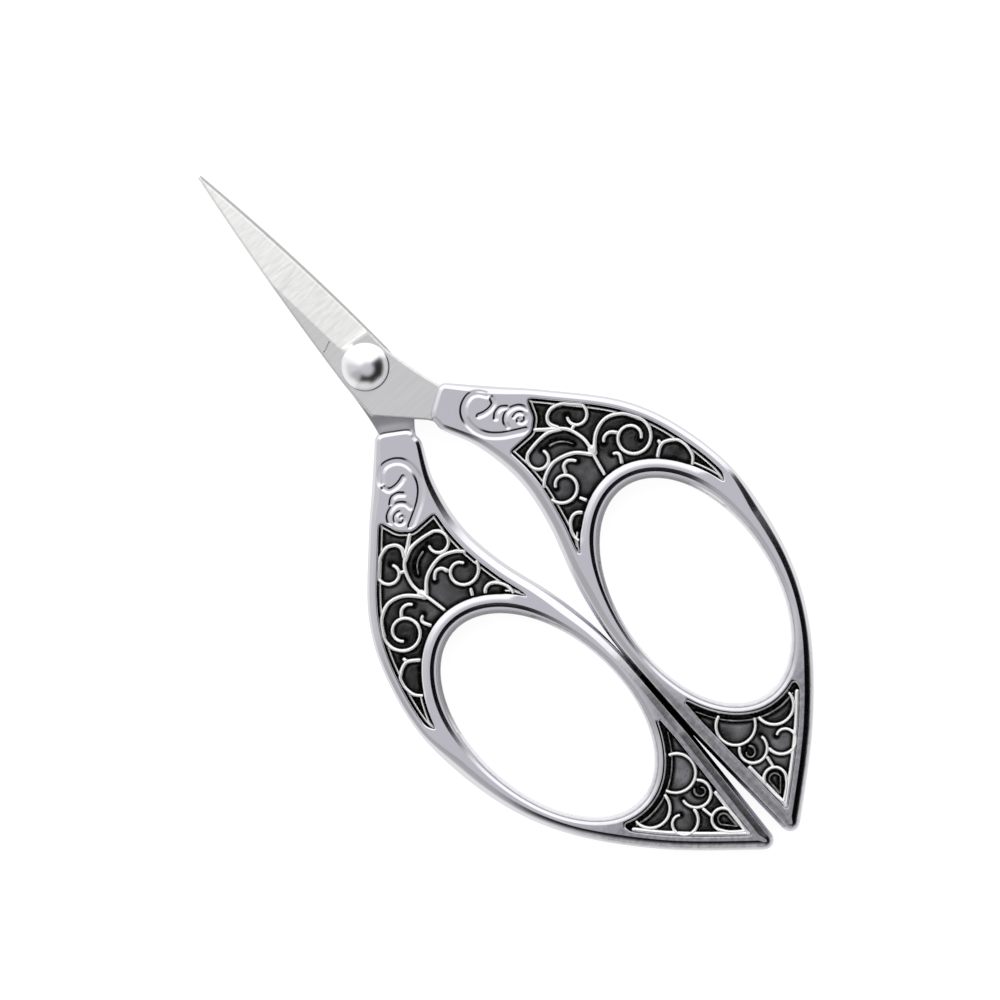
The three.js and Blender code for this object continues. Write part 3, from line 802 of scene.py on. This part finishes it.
def film_and_painted_shade(points, slit_shade_share):
    """How dark each point is painted: the antique film in the recesses, and painted shade in the slit and
    on the hole's lip.
    """
    x, y, z = points.T
    sunk = (FACE - abs(z)) / DARKENING_DEPTH
    deep = np.clip(sunk, 0, 1)
    wall = np.clip(sunk - 1, 0, 1)
    at_slit = np.clip(2 - 2 * x / SLIT_REACH, 0, 1) * np.clip((SLIT_START - y) / DARKENING_FADE, 0, 1)
    slit = SLIT_SHADE * at_slit * np.clip(slit_shade_share * (deep + SLIT_FACE_SHARE) + wall, 0, 1)
    in_recess = deep * np.any([inside(points[:, :2], loop) for loop in recesses.values()], axis=0)
    tail_start = TAIL_START + CREEP * np.clip(1 - x / CREEP_WIDTH, 0, 1)
    to_hole = distance_to(points[:, :2], finger_hole)
    off_ring = (1 - wall) * np.clip(to_hole / BRIGHT_RING - 1, 0, 1)
    at_tail = TAIL_DARKENING * off_ring * np.clip((tail_start - y) / DARKENING_FADE, 0, 1)
    in_hole = HOLE_LIP_SHADE * ((to_hole > FLAT) & (to_hole < HOLE_WIDTH))
    return np.maximum.reduce([slit, in_recess, at_tail, in_hole])


# %% One casting, for both handles
def casting():
    top = Surface()
    room = room_for(outline, edge_profile, finger_hole, OUTER_PART)
    outer_wall, face_edge = top.edge(outline, edge_profile, room, carved)
    room = room_for(finger_hole, hole_profile, outline, 1 - OUTER_PART)
    hole_wall, hole_edge = top.edge(finger_hole, hole_profile, room, rolled)
    rims = []
    for loop in recesses.values():
        floor, rim = top.edge(loop, recess_profile, base=rolled)
        top.fill(floor[::-1])
        rims.append(rim)
    loose = channel_points(top.points[face_edge][:, :2], top.points[rims[0]][:, :2])
    relief = top.add(loose, FACE + carved(loose))
    top.fill(face_edge, [hole_edge, *rims], relief)
    return closed_solid(top, top.turned_over(), [(outer_wall, outer_wall), (hole_wall, hole_wall)])


handle = casting()
for hand, matrix in (("right", RIGHT), ("left", LEFT)):
    # Each handle's mask holds the antique film and the painted shade; the right-hand bow's slit is painted
    # darker.
    handle.mask = film_and_painted_shade(handle.points, SLIT_SHADE_SHARES[hand])
    piece(f"{hand}_handle_casting", handle, matrix, cast_silver, f"{hand}_handle")
print("casting:", len(handle.points), "points")

# %% [markdown]
# ## Scrollwork
# The scrolls look like flattened wire, soldered where they touch: a rounded top that catches one
# line of light, and sides that go down into the dark. A curve object with a bevel would give them one
# thickness. Here each is swept along its line, so that it can run thinner towards its eye and end
# round. Border wires follow the flanks, a gusset fills the fork of the stem, and thin tarnished veins
# lie in some cells. The lines are placed from the ring's crown, in front of the hole, and its heel.

# %% Lines of the scrolls
WIRE_STEP = 0.15
SEAT = 0.15  # from the crown to the recess's edge
ROOT = SHOULDER_RING - 0.45  # wires start inside the ring round the hole
STEM = HEAD_EDGE + 0.3  # and the stem in the ferrule
VEIN_RING = TAIL_RING + 0.75
COIL_STEP = 15  # degrees
crown = by_hole(0, SHOULDER_RING - SEAT)
heel = by_hole(180, TAIL_RING)


def on_crown(*offsets):
    """Points by their offsets from the crown, x and y by turns."""
    return crown + np.reshape(offsets, (-1, 2))


def on_heel(*offsets):
    return heel + np.reshape(offsets, (-1, 2))


def by_ring(*pairs):
    """Points by their bearings round the hole and distances from it."""
    return [by_hole(bearing, out) for bearing, out in pairs]


def coil(eye, radii, angles):
    """A spiral about an eye, between two radii and two angles."""
    count = math.ceil(abs(angles[1] - angles[0]) / COIL_STEP)
    return eye + polar(np.linspace(*radii, count), np.linspace(*angles, count))


# %% Scrolls of a shoulder
shoulder_scrolls = [
    np.vstack([[SPIRAL[0], STEM],
               on_crown(-3.2, 10.35, -1.1, 8.6, -0.25, 6.4, -0.3, 4.7, -0.75, 2.9), by_ring((-6, ROOT))]),
    np.vstack([on_crown(-1.4, 8.9, -3.2, 9.8, -5, 9.9), coil(on_crown(-6.55, 8), (1.65, 1.2), (105, 388))]),
    np.vstack([on_crown(-1.7, 9.3, -2.3, 10.4, -2.3, 11.1, -1.8, 11.7, -0.8, 12.05, 0.7, 11.6, 1.9, 10.5),
               coil(on_crown(1.1, 9.2), (1.65, 1.15), (20, -214))]),
    on_crown(0.2, 8.35, -0.8, 8),
    np.vstack([on_crown(-0.6, 3.5, -2.5, 5.5, -5.2, 6.3, -7.3, 5.7),
               coil(on_crown(-6.5, 3), (2.65, 1), (143, 516))]),
    np.vstack([on_crown(-0.5, 3.4, 1.5, 5.5, 3.8, 6.2, 5.9, 5.3),
               coil(on_crown(4.9, 1.9), (2.85, 1.2), (40, -415))]),
    on_crown(-5.1, 4, -4.7, 5, -3.9, 5.25, -3.2, 4.8, -2.9, 4.3),
    on_crown(3.9, 3.5, 3.3, 4.25, 2.6, 4.5, 1.9, 4.3, 1.5, 3.8),
    by_ring((5.2, ROOT), (7.4, 4), (6.4, 4.6), (4.1, 4.7)),
    by_ring((-22.3, ROOT), (-23.6, 4.2)),
    on_crown(-6.6, -2.1, -7.2, -1.1, -8.1, -0.85, -9, -1.35, -9.65, -2.3, -9.9, -3.2, -9.7, -4.4),
    by_ring((25.5, ROOT), (28.9, 4.75), (35.2, 5.6), (38.5, 5.4), (41.1, 4.85), (43.3, 3.9), (43.7, ROOT)),
    by_ring((28.9, 4.6), (27.4, 5.4)),
]
print("scrolls in a shoulder:", len(shoulder_scrolls))

# %% Scrolls of a tail, gussets and veins
tail_scrolls = [
    coil(on_heel(-5.85, 1.35), (2.5, 2.85), (105, 343)),
    coil(on_heel(0, -0.05), (2.65, 2.65), (174, 366)),
    coil(on_heel(-6.2, -2.6), (1.65, 2.2), (125, 375)),
    coil(on_heel(-2, -4.3), (2.4, 0.95), (170, 480)),
    np.vstack([on_heel(-7.7, -10.9, -7.95, -9), coil(on_heel(-6.42, -7.65), (1.5, 1.5), (185, -30)),
               on_heel(-5.95, -9.5, -7.7, -10.9)]),
    on_heel(-5.3, -4.6, -5.6, -6.5),
]
gussets = {"shoulder": [on_crown(-0.15, 4.9, -0.55, 3.2)], "tail": []}
shoulder_veins = [on_crown(-4.4, 8.4, -3.2, 8.05, -2.3, 7.35, -1.7, 6.4)]
tail_veins = [
    by_ring(*((bearing, VEIN_RING) for bearing in range(166, 227, 10))),
    coil(on_heel(-6.75, -2.8), (0.95, 0.4), (60, -240)),
    np.vstack([on_heel(-7.3, -9.8), coil(on_heel(-6.5, -7.75), (0.78, 0.78), (185, -30)),
               on_heel(-7.3, -9.8)]),
]
veins = {"shoulder": shoulder_veins, "tail": tail_veins}
print("scrolls in a tail:", len(tail_scrolls), "and veins:", len(tail_veins))

# %% Sweep the wires
WIRE_WIDTHS = {"shoulder": (0.64, 0.52), "tail": (0.54, 0.46)}  # at the root and at the eye
WIRE_SIDES = 12
SECTION = np.linspace(0, 2 * math.pi, WIRE_SIDES, endpoint=False)
WIRE_FOOT = (RECESS_FLOOR + ENAMEL_TOP) / 2
GUSSET = 1.15
VEIN = 0.34
VEIN_TOP = ENAMEL_TOP + 0.05
VEIN_TARNISH = 0.75
# Border wires: distance from the recess's edge, width and top, and the flanks that they follow.
BORDERS = {"shoulder": (0.45, 0.34, ENAMEL_TOP + 0.4), "tail": (0.35, 0.7, WIRE_TOP - 0.05)}
BORDERED = {"shoulder": outline, "tail": outer_flank}
SHORTEST = 4  # points in a wire
BLUNT = 0.01  # keeps a wire's last ring from closing to a point


def wire(line, widths, top):
    """A wire of oval section along a line, with round ends, sunk in the enamel."""
    sideways = left_of(line, False)
    middle = (top + WIRE_FOOT) / 2
    walked = np.r_[0, np.cumsum(np.linalg.norm(np.diff(line, axis=0), axis=1))]
    to_end = np.minimum(walked, walked[-1] - walked)
    size = np.sqrt(np.clip(1 - np.clip(1 - 2 * to_end / widths, 0, 1) ** 2, BLUNT, 1))
    swept = Surface()
    rings = []
    for point, side, width, share in zip(line, sideways, widths, size):
        plan = point + np.outer(np.cos(SECTION) * width * share / 2, side)
        rings.append(swept.add(plan, middle + (top - middle) * share * np.sin(SECTION)))
    for ring, following in zip(rings, rings[1:]):
        swept.band(ring, following)
    swept.faces += [tuple(map(int, rings[0][::-1])), tuple(map(int, rings[-1]))]
    return swept


# %% Wires of a panel
def scrollwork(place, runs):
    """All wires of a panel as one surface, and the points that their lines go through."""
    loop = recesses[place]
    inset, border_width, border_top = BORDERS[place]
    border, _ = drawn_in(loop, -inset)
    at_flank = distance_to(border, BORDERED[place]) < distance_to(border, finger_hole)
    sorts = [
        (runs, WIRE_WIDTHS[place], WIRE_TOP, 0.0),
        (gussets[place], (GUSSET, GUSSET), WIRE_TOP, 0.0),
        (veins[place], (VEIN, VEIN / 2), VEIN_TOP, VEIN_TARNISH),
    ]
    wires = [(border, np.full(len(border), border_width), border_top, 0.0, at_flank)]
    for sort, widths, top, dark in sorts:
        for line in (spline(knots, WIRE_STEP) for knots in sort):
            wires.append((line, np.linspace(*widths, len(line)), top, dark, inside(line, loop)))
    panel = Surface()
    lines = []
    for line, widths, top, dark, seen in wires:
        kept = np.flatnonzero(seen)
        for part in np.split(kept, np.flatnonzero(np.diff(kept) > 1) + 1):
            if len(part) >= SHORTEST:
                swept = wire(line[part], widths[part], top)
                swept.mask[:] = dark
                panel.join(swept)
                lines.append(line[part])
    return panel, np.vstack(lines)


# %% [markdown]
# ## Enamel
# The fill is fired between the wires and sinks a little along them. The middle of each cell is glossy and
# dark grey, and the corners are painted matt and quite black, as shade beside the metal. So every wire has
# a painted black outline. The mask says how near to the metal a point lies. A grid of points takes the
# shape, because the fill sinks by its distance to the wires, which no modifier measures.

# %% Fire the enamel
ENAMEL_GRID = 0.2
ENAMEL_EDGE = 0.04
WIRE_REACH = 0.26  # half a wire
MOAT = 0.2  # how far the fill sinks beside the metal
MOAT_FOOT = 0.12  # width of the lowest stretch, and of the slope up to the middle of the cell
MOAT_SLOPE = 0.42
UNSHADED_SHARE = {"shoulder": 0.65, "tail": 1.0}  # how far the middle of a cell escapes the painted shade beside the metal: the tail's wider cells fully, the shoulder's not quite
WAVE = 2.2  # length and height of the waves in the fired surface
WAVE_HEIGHT = 0.1


def enamel(loop, lines, unshaded_share):
    edge, _ = drawn_in(loop[::-1], ENAMEL_EDGE)
    grid = well_inside(staggered_grid(edge, 0, ENAMEL_GRID), edge, ENAMEL_GRID / 2)
    to_metal = np.minimum(distance_to(grid, lines) - WIRE_REACH, distance_to(grid, edge))
    rise = np.clip((to_metal - MOAT_FOOT) / MOAT_SLOPE, 0, 1)
    near = 1 - rise**2 * (3 - 2 * rise)
    waves = np.array([noise.noise((*point / WAVE, 0)) for point in grid])
    top = Surface()
    # The fill's edge at the walls carries the full painted shade.
    rim = top.add(edge, ENAMEL_TOP - MOAT, 1.0)
    heights = ENAMEL_TOP - MOAT * near + WAVE_HEIGHT * waves
    top.fill(rim, (), top.add(grid, heights, 1 - unshaded_share * (1 - near)))
    bottom = Surface()
    base = bottom.add(edge, RECESS_FLOOR)
    bottom.fill(base)
    bottom.faces = [face[::-1] for face in bottom.faces]
    return closed_solid(top, bottom, [(rim, base)])


for place, runs in (("shoulder", shoulder_scrolls), ("tail", tail_scrolls)):
    wires, lines = scrollwork(place, runs)
    fill = enamel(recesses[place], lines, UNSHADED_SHARE[place])
    for hand, matrix, faces in (("right", RIGHT, ("front", "back")), ("left", LEFT, ("back", "front"))):
        for face, wired, filled in zip(faces, (wires, wires.turned_over()), (fill, fill.turned_over())):
            name = f"{hand}_{face}_{place}"
            piece(f"{name}_scrollwork", wired, matrix, bright_silver, f"{name}_filigree")
            piece(f"{name}_fill", filled, matrix, black_enamel, f"{name}_enamel")
    print(place, "wires:", len(wires.points), "points, enamel:", len(fill.points), "points")

# %% [markdown]
# ## Blades
# A blade is blanked from sheet and then ground from the middle to the cutting edge. The wheel comes down in
# a short round plunge at the heel, and leaves fine lines across the bevel. The rear blade's back is a
# little wider, so it shows as a narrow strip beside the front one's edge. Inside, the shanks are relieved,
# and the inner faces are painted darker: partly a dull grind and partly painted shade under the other blade
# and the ferrules. A boolean cut would give the bevel sharp, thin triangles, so its height is worked out at
# every point instead.

# %% Sizes of a blade
BLADE_REACH = 34.5
BLADE_HALF_WIDTH = 3.75
EDGE_WAIST = 2.6  # the corner that bends the cutting edge, halfway to the tip
BACKS = {1: (3.75, 2.57), -1: (4.0, 3.02)}  # the backs at the pivot and their corners, front and rear
TIP_HALF_WIDTH = 0.26
TIP_RADIUS = 0.1
TIP_STEPS = 9
EDGE_THICKNESS = 0.25  # steel left at the widest part of the grinding
GRIND_HEEL = 3.9  # pivot to the start of the grinding
GRIND_WIDTH = 4.7
GRIND_TILT = 5.3  # degrees, the way that the bevel's border and its heel run
HEEL_SLANT = -9.5
PLUNGES = ((0.35, 0.9), (1.5, 0.1))  # lengths and shares of the grind's depth
SHANK_DROP = 5.6
SHANK_BENDS = {1: (4.5, -4.0), -1: (3.9, -4.6)}  # corners of the shanks' outer sides
TANG_DEPTH = 8
PIN_HOLE = 1.56
PIN_STEPS = 48
NICK = ((-1.55, 5.7), (-2.6, 5.2))
NICK_DEPTH = 0.16
NICK_WIDTH = 0.36
NICK_STEP = 0.05
SHANK_RELIEF = 11  # degrees
SHANK_CLEAR = 3.2  # how far before the ferrule's mouth the relief starts
DULL_SHADE_FADE = 4  # from the pivot back to the darkest part of the inner face, where its painted shade is deepest
# the least darkening of the inner face, near the pivot
DULL_SHADE_LEAST = 0.35
BURR = 0.05  # the inner edges are broken by this much
EDGE_BREAK = [(0, -0.2), (0.05, -0.07), (0.28, 0), (0.32, 0)]  # insets and heights, outer edges
BLADE_STEP = 0.25
# Rows of points where the face bends: along the bevel's border, across its plunge and in the nick.
BORDER_ROWS = (-0.15, -0.05, 0.05, 0.15)
BORDER_STEP = 0.5
PLUNGE_ROWS = (-0.05, *np.arange(0.05, 0.4, 0.06), *np.arange(0.45, 1.7, 0.15))
PLUNGE_STEP = 0.3
NICK_ROWS = (-1.2, -1, -0.5, 0, 0.5, 1, 1.2)  # in half widths of the nick

# %% Ground faces
nick = spaced(NICK, NICK_STEP)
grind_corner = np.array([BLADE_HALF_WIDTH - GRIND_WIDTH, GRIND_HEEL])


def ground_face(points):
    """Height of the outer face: flat, ground down towards the edge, with a nick in the flat."""
    offset = points - grind_corner
    across = np.maximum(offset @ polar(1, GRIND_TILT), 0)
    along = offset @ polar(1, HEEL_SLANT + 90)
    slope = (BLADE_OUTER - BLADE_INNER - EDGE_THICKNESS) / GRIND_WIDTH
    plunge = sum(share * (1 - np.clip(1 - along / length, 0, 1) ** 2) for length, share in PLUNGES)
    in_nick = np.clip(1 - distance_to(points, nick) / (NICK_WIDTH / 2), 0, 1)
    return BLADE_OUTER - slope * across * plunge - NICK_DEPTH * in_nick


def inner_face(points, side):
    """Height of the inner face: flat between the blades, and relieved towards the tang."""
    place = np.array([side * CLOSING_LINE, STAGGER[side]])
    to_mouth = (in_ferrule(0, 0) + place - points) @ polar(1, TANG_SLOPE)
    past = np.maximum(SHANK_CLEAR - to_mouth, 0)
    return BLADE_INNER + math.tan(math.radians(SHANK_RELIEF)) * np.minimum(past, SHANK_CLEAR)


# %% Outline of a blade
def blade_outline(side):
    """A blade with its tang; side is 1 for the front blade and -1 for the rear one."""
    place = np.array([side * CLOSING_LINE, STAGGER[side]])
    mouth_outer, mouth_inner = (in_ferrule(0, offset) + place for offset in TANG_SIDES)
    end_outer, end_inner = (in_ferrule(TANG_DEPTH, offset) + place for offset in TANG_SIDES)
    pivot_right = [BLADE_HALF_WIDTH, 0]
    halfway = BLADE_REACH / 2
    tip = np.array([TIP_RADIUS - TIP_HALF_WIDTH, BLADE_REACH - TIP_RADIUS])
    back, back_waist = BACKS[side]
    loop = np.vstack([
        end_outer,
        corner_bend(mouth_outer, SHANK_BENDS[side], pivot_right),
        corner_bend(pivot_right, [EDGE_WAIST, halfway], tip + [TIP_RADIUS, 0]),
        tip + polar(TIP_RADIUS, np.linspace(0, 180, TIP_STEPS)),
        corner_bend(tip - [TIP_RADIUS, 0], [-back_waist, halfway], [-back, 0]),
        [-BLADE_HALF_WIDTH, -SHANK_DROP],
        mouth_inner,
        end_inner,
        end_outer,
    ])
    return spaced(loop, BLADE_STEP)[:-1]


# %% Both blades
def face_points():
    """Points where the bevel's border, its plunge and the nick bend the face."""
    runs = []
    for across in BORDER_ROWS:
        runs += [(across, along) for along in np.arange(0, BLADE_REACH, BORDER_STEP)]
    for along in PLUNGE_ROWS:
        runs += [(across, along - across * math.tan(math.radians(GRIND_TILT - HEEL_SLANT)))
                 for across in np.arange(PLUNGE_STEP, 1.5 * GRIND_WIDTH, PLUNGE_STEP)]
    across, along = np.array(runs).T[..., None]
    bevel = grind_corner + across * polar(1, GRIND_TILT) + along * polar(1, GRIND_TILT + 90)
    beside = left_of(nick, False)
    groove = [nick + row * NICK_WIDTH / 2 * beside for row in NICK_ROWS]
    return np.vstack([bevel, *groove])


def blade(side):
    def low_face(plan):
        return inner_face(plan, side)

    loop = blade_outline(side)
    pin_hole = polar(PIN_HOLE, np.linspace(0, -360, PIN_STEPS, endpoint=False))
    top = Surface()
    outer, rim = top.edge(loop, EDGE_BREAK, base=ground_face)
    pin, pin_rim = top.edge(pin_hole, EDGE_BREAK, base=ground_face)
    loose = well_inside(face_points(), top.points[rim][:, :2], BLADE_STEP)
    top.fill(rim, [pin_rim], top.add(loose, ground_face(loose)))
    bottom = Surface()
    low_break = [(0, BURR), (BURR, 0)]
    low_outer, low_rim = bottom.edge(loop, low_break, base=low_face)
    low_pin, low_pin_rim = bottom.edge(pin_hole, low_break, base=low_face)
    bottom.fill(low_rim, [low_pin_rim])
    bottom.faces = [face[::-1] for face in bottom.faces]
    # The inner face is painted darker towards the tang: a duller grind and painted shade under the other
    # blade and the ferrules.
    bottom.mask = np.clip(-bottom.points[:, 1] / DULL_SHADE_FADE, DULL_SHADE_LEAST, 1)
    return closed_solid(top, bottom, [(outer, low_outer), (pin, low_pin)])


for name, side, matrix in (("front_blade", 1, FRONT), ("rear_blade", -1, REAR)):
    ground = blade(side)
    piece(f"{name}_ground", ground, matrix, blade_steel, name)
    print(name, "has", len(ground.points), "points")

# %% [markdown]
# ## Rivet and washer
# The rivet is turned and polished, then spread over a washer on the back. Its head is a low dome on a
# thin flange. A dome mirrors the whole studio, so it needs many more steps than a drawing does. A
# profile turned round the axis gives each of the two pieces in one go.

# %% Turn the rivet
PIN_RADIUS = 1.5
PEEN_RADIUS = 2.2  # the spread tail
PEEN_HEIGHT = 0.2
HEAD_GAP = 0.05
DOME_SLOPE = 38  # degrees, at the foot of the dome
DOME_STEPS = 28
FLANGE_WIDTH = 0.14
FLANGE_SLOPE = 22
WASHER_CHAMFER = 0.12
TURNED_STEPS = 96
AXIS_CAP = 0.02  # radius of the small flat on the axis
rivet_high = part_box("pivot_rivet")[1]
washer_low, washer_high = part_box("pivot_washer")
head_radius = rivet_high.x / MM
head_top = rivet_high.z / MM
head_bottom = MIDDLE + BLADE_OUTER + HEAD_GAP
washer_radius = washer_high.x / MM


def turned(profile, hollow=False):
    """A turned piece, from radius and height pairs that run up its outside."""
    solid = Surface()
    angles = np.linspace(0, 360, TURNED_STEPS, endpoint=False)
    rings = [solid.add(polar(radius, angles), height) for radius, height in profile]
    for lower, upper in zip(rings, rings[1:]):
        solid.band(lower, upper)
    if hollow:
        solid.band(rings[-1], rings[0])
    else:
        solid.faces += [tuple(map(int, rings[0][::-1])), tuple(map(int, rings[-1]))]
    return solid


# %% Profiles of rivet and washer
dome_radius = head_radius - FLANGE_WIDTH
flange_rise = FLANGE_WIDTH * math.tan(math.radians(FLANGE_SLOPE))
dome_slopes = np.radians(np.linspace(DOME_SLOPE, 0, DOME_STEPS))[:-1]
ball_radius = dome_radius / math.sin(dome_slopes[0])
dome_drop = ball_radius * (1 - np.cos(dome_slopes))
dome = np.column_stack([ball_radius * np.sin(dome_slopes), head_top - dome_drop])
rivet_profile = [
    (AXIS_CAP, 0),
    (PEEN_RADIUS - BURR, 0),
    (PEEN_RADIUS, BURR),
    (PEEN_RADIUS, PEEN_HEIGHT),
    (PIN_RADIUS, PEEN_HEIGHT),
    (PIN_RADIUS, head_bottom),
    (head_radius - BURR, head_bottom),
    (head_radius, head_bottom + BURR),
    (dome_radius, head_bottom + BURR + flange_rise),
    *map(tuple, dome),
    (AXIS_CAP, head_top),
]
washer_bottom = washer_low.z / MM
washer_top = washer_high.z / MM
washer_profile = [
    (PIN_HOLE, washer_bottom),
    (washer_radius - WASHER_CHAMFER, washer_bottom),
    (washer_radius, washer_bottom + WASHER_CHAMFER),
    (washer_radius, washer_top - WASHER_CHAMFER),
    (washer_radius - WASHER_CHAMFER, washer_top),
    (PIN_HOLE, washer_top),
]
on_axis = Matrix.Identity(4)
piece("pivot_rivet_turned", turned(rivet_profile), on_axis, rivet_steel, "pivot_rivet")
piece("pivot_washer_turned", turned(washer_profile, True), on_axis, blade_steel, "pivot_washer")
print("rivet head", round(2 * head_radius, 2), "mm across, dome", round(dome_drop[0], 2), "mm high")

# %% [markdown]
# ## Camera
# The photograph looks straight down. It is 1000 pixels wide, and the pivot's place, the slant of the
# blades and the size of a pixel were measured in it. A long lens keeps the view nearly parallel.

# %% Camera
IMAGE = 1000  # pixels, both ways
PIXEL = 0.13575  # mm
PIVOT_PIXEL = np.array([365, 367])
AXIS_ANGLE = 48.95  # degrees between the blades and the picture's left edge
LENS = 200
SENSOR = 36
turn = math.radians(AXIS_ANGLE)
right = Vector((math.sin(turn), -math.cos(turn), 0))
up = Vector((math.cos(turn), math.sin(turn), 0))
across, down = (IMAGE / 2 - PIVOT_PIXEL) * PIXEL * MM
camera = bpy.data.objects.new("camera", bpy.data.cameras.new("camera"))
bpy.context.scene.collection.objects.link(camera)
camera.data.lens = LENS
camera.data.sensor_width = SENSOR
height = IMAGE * PIXEL * MM * LENS / SENSOR + (MIDDLE + FACE) * MM
centre = right * across - up * down + Vector((0, 0, height))
camera.matrix_world = Matrix.Translation(centre) @ Matrix((right, up, (0, 0, 1))).transposed().to_4x4()
bpy.context.scene.camera = camera
bpy.context.scene.view_settings.view_transform = "Standard"
print("camera", round(height, 3), "m above the floor")

# %% [markdown]
# ## Studio
# The photograph is on white, and metal needs something to mirror. So a white tent stands round the
# scissors, as for a photograph of jewellery: greyer overhead, where the camera looks in, brighter at
# the top of the picture, and with black cloths at its lower right, which give the edges on that side
# their black lines. Lamps would add hard spots, so the tent itself is the light. The floor is white
# paper, which also glows a little where it is seen, and still takes a shadow.

# %% Floor
FLOOR = 3.0  # half its width in metres
FLOOR_DROP = 0.0001  # keeps it from flickering with the undersides
GLOW_SHARE = 0.72
GLOW = 1.2
floor_mesh = bpy.data.meshes.new("floor")
corners = [(-FLOOR, -FLOOR), (FLOOR, -FLOOR), (FLOOR, FLOOR), (-FLOOR, FLOOR)]
floor_mesh.from_pydata([(x, y, -FLOOR_DROP) for x, y in corners], [], [(0, 1, 2, 3)])
floor = bpy.data.objects.new("floor", floor_mesh)
bpy.context.scene.collection.objects.link(floor)
floor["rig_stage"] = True

# Matt paper mirrors nothing, so the eye gets plain white and a soft shadow.
paper, tree = new_material("white_paper")
path = add_node(tree, "LightPath")
seen = path["Is Camera Ray"]
for ray in ("Is Glossy Ray", "Is Transmission Ray"):
    seen = add_node(tree, "Math", {0: seen, 1: path[ray]}, operation="MAXIMUM")["Value"]
share = add_node(tree, "Math", {0: seen, 1: GLOW_SHARE}, operation="MULTIPLY")["Value"]
matte = add_node(tree, "BsdfDiffuse", {"Color": linear("#F8F8F8")})["BSDF"]
glow = add_node(tree, "Emission", {"Color": linear("#FFFFFF"), "Strength": GLOW})["Emission"]
sheet = add_node(tree, "MixShader", {0: share, 1: matte, 2: glow})["Shader"]
add_node(tree, "OutputMaterial", {"Surface": sheet})
floor_mesh.materials.append(paper)
print("floor", 2 * FLOOR, "m wide")

# %% Cloths of the tent
TENT = (1.17, 1.17, 1.17, 1)
OVERHEAD = (0.72, 0.715, 0.76, 1)
WINDOW = 20  # half width of the opening overhead, which leans to the lower right
WINDOW_TILT = 7
FADE = 7  # degrees over which one cloth of the tent runs into the next
# Each cloth: the side of the picture it hangs on, its half width and how far down it comes from the
# zenith, all in degrees, with 0 at the picture's right and 90 at its top, and its brightness. Each
# one hangs in front of those before it.
cloths = [
    (-45, 70, 88, 0.42),
    (-45, 70, 72, 1.0),
    (92, 58, 84, 1.5),
    (192, 25, 60, 0.8),
    (228, 27, 52, 0.55),
    (-82, 34, 46, 0),
    (-46, 28, 54, 0),
    (1, 36, 58, 0),
]

# %% Hang the tent
world = bpy.data.worlds.new("studio_tent")
bpy.context.scene.world = world
world.use_nodes = True
tree = world.node_tree
tree.nodes.clear()
gaze = add_node(tree, "TexCoord")["Generated"]
level = add_node(tree, "VectorMath", {0: gaze, 1: (1, 1, 0)}, operation="MULTIPLY")["Vector"]
level = add_node(tree, "VectorMath", {0: level}, operation="NORMALIZE")["Vector"]
zenith = Vector((0, 0, 1))

# A cloth's limits: a direction in which one looks, what it is measured from, and an angle.
hung = []
for side, spread, far, brightness in cloths:
    towards = right * math.cos(math.radians(side)) + up * math.sin(math.radians(side))
    hung.append(([(level, towards, spread), (gaze, zenith, far)], (brightness, brightness, brightness, 1)))
window = zenith + math.tan(math.radians(WINDOW_TILT)) * (right - up).normalized()
hung.append(([(gaze, window.normalized(), WINDOW)], OVERHEAD))

tent = TENT
for limits, colour in hung:
    share = 1.0
    for look, towards, angle in limits:
        cosine = add_node(tree, "VectorMath", {0: look, 1: towards}, operation="DOT_PRODUCT")["Value"]
        outer, inner = (math.cos(math.radians(angle + fade)) for fade in (FADE, -FADE))
        border = {"Value": cosine, "From Min": outer, "From Max": inner, "To Max": share}
        share = add_node(tree, "MapRange", border, interpolation_type="SMOOTHSTEP")["Result"]
    tent = add_node(tree, "Mix", {"Factor": share, "A": tent, "B": colour}, data_type="RGBA")["Result"]
light = add_node(tree, "Background", {"Color": tent})["Background"]
add_node(tree, "OutputWorld", {"Surface": light})
print("cloths hung:", len(hung))

# %% [markdown]
# ## Size
# The box of what was made here is printed, in millimetres.

# %% Size
bpy.context.view_layer.update()
low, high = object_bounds()
print("visual box in mm:", [round(s / MM, 1) for s in high - low])
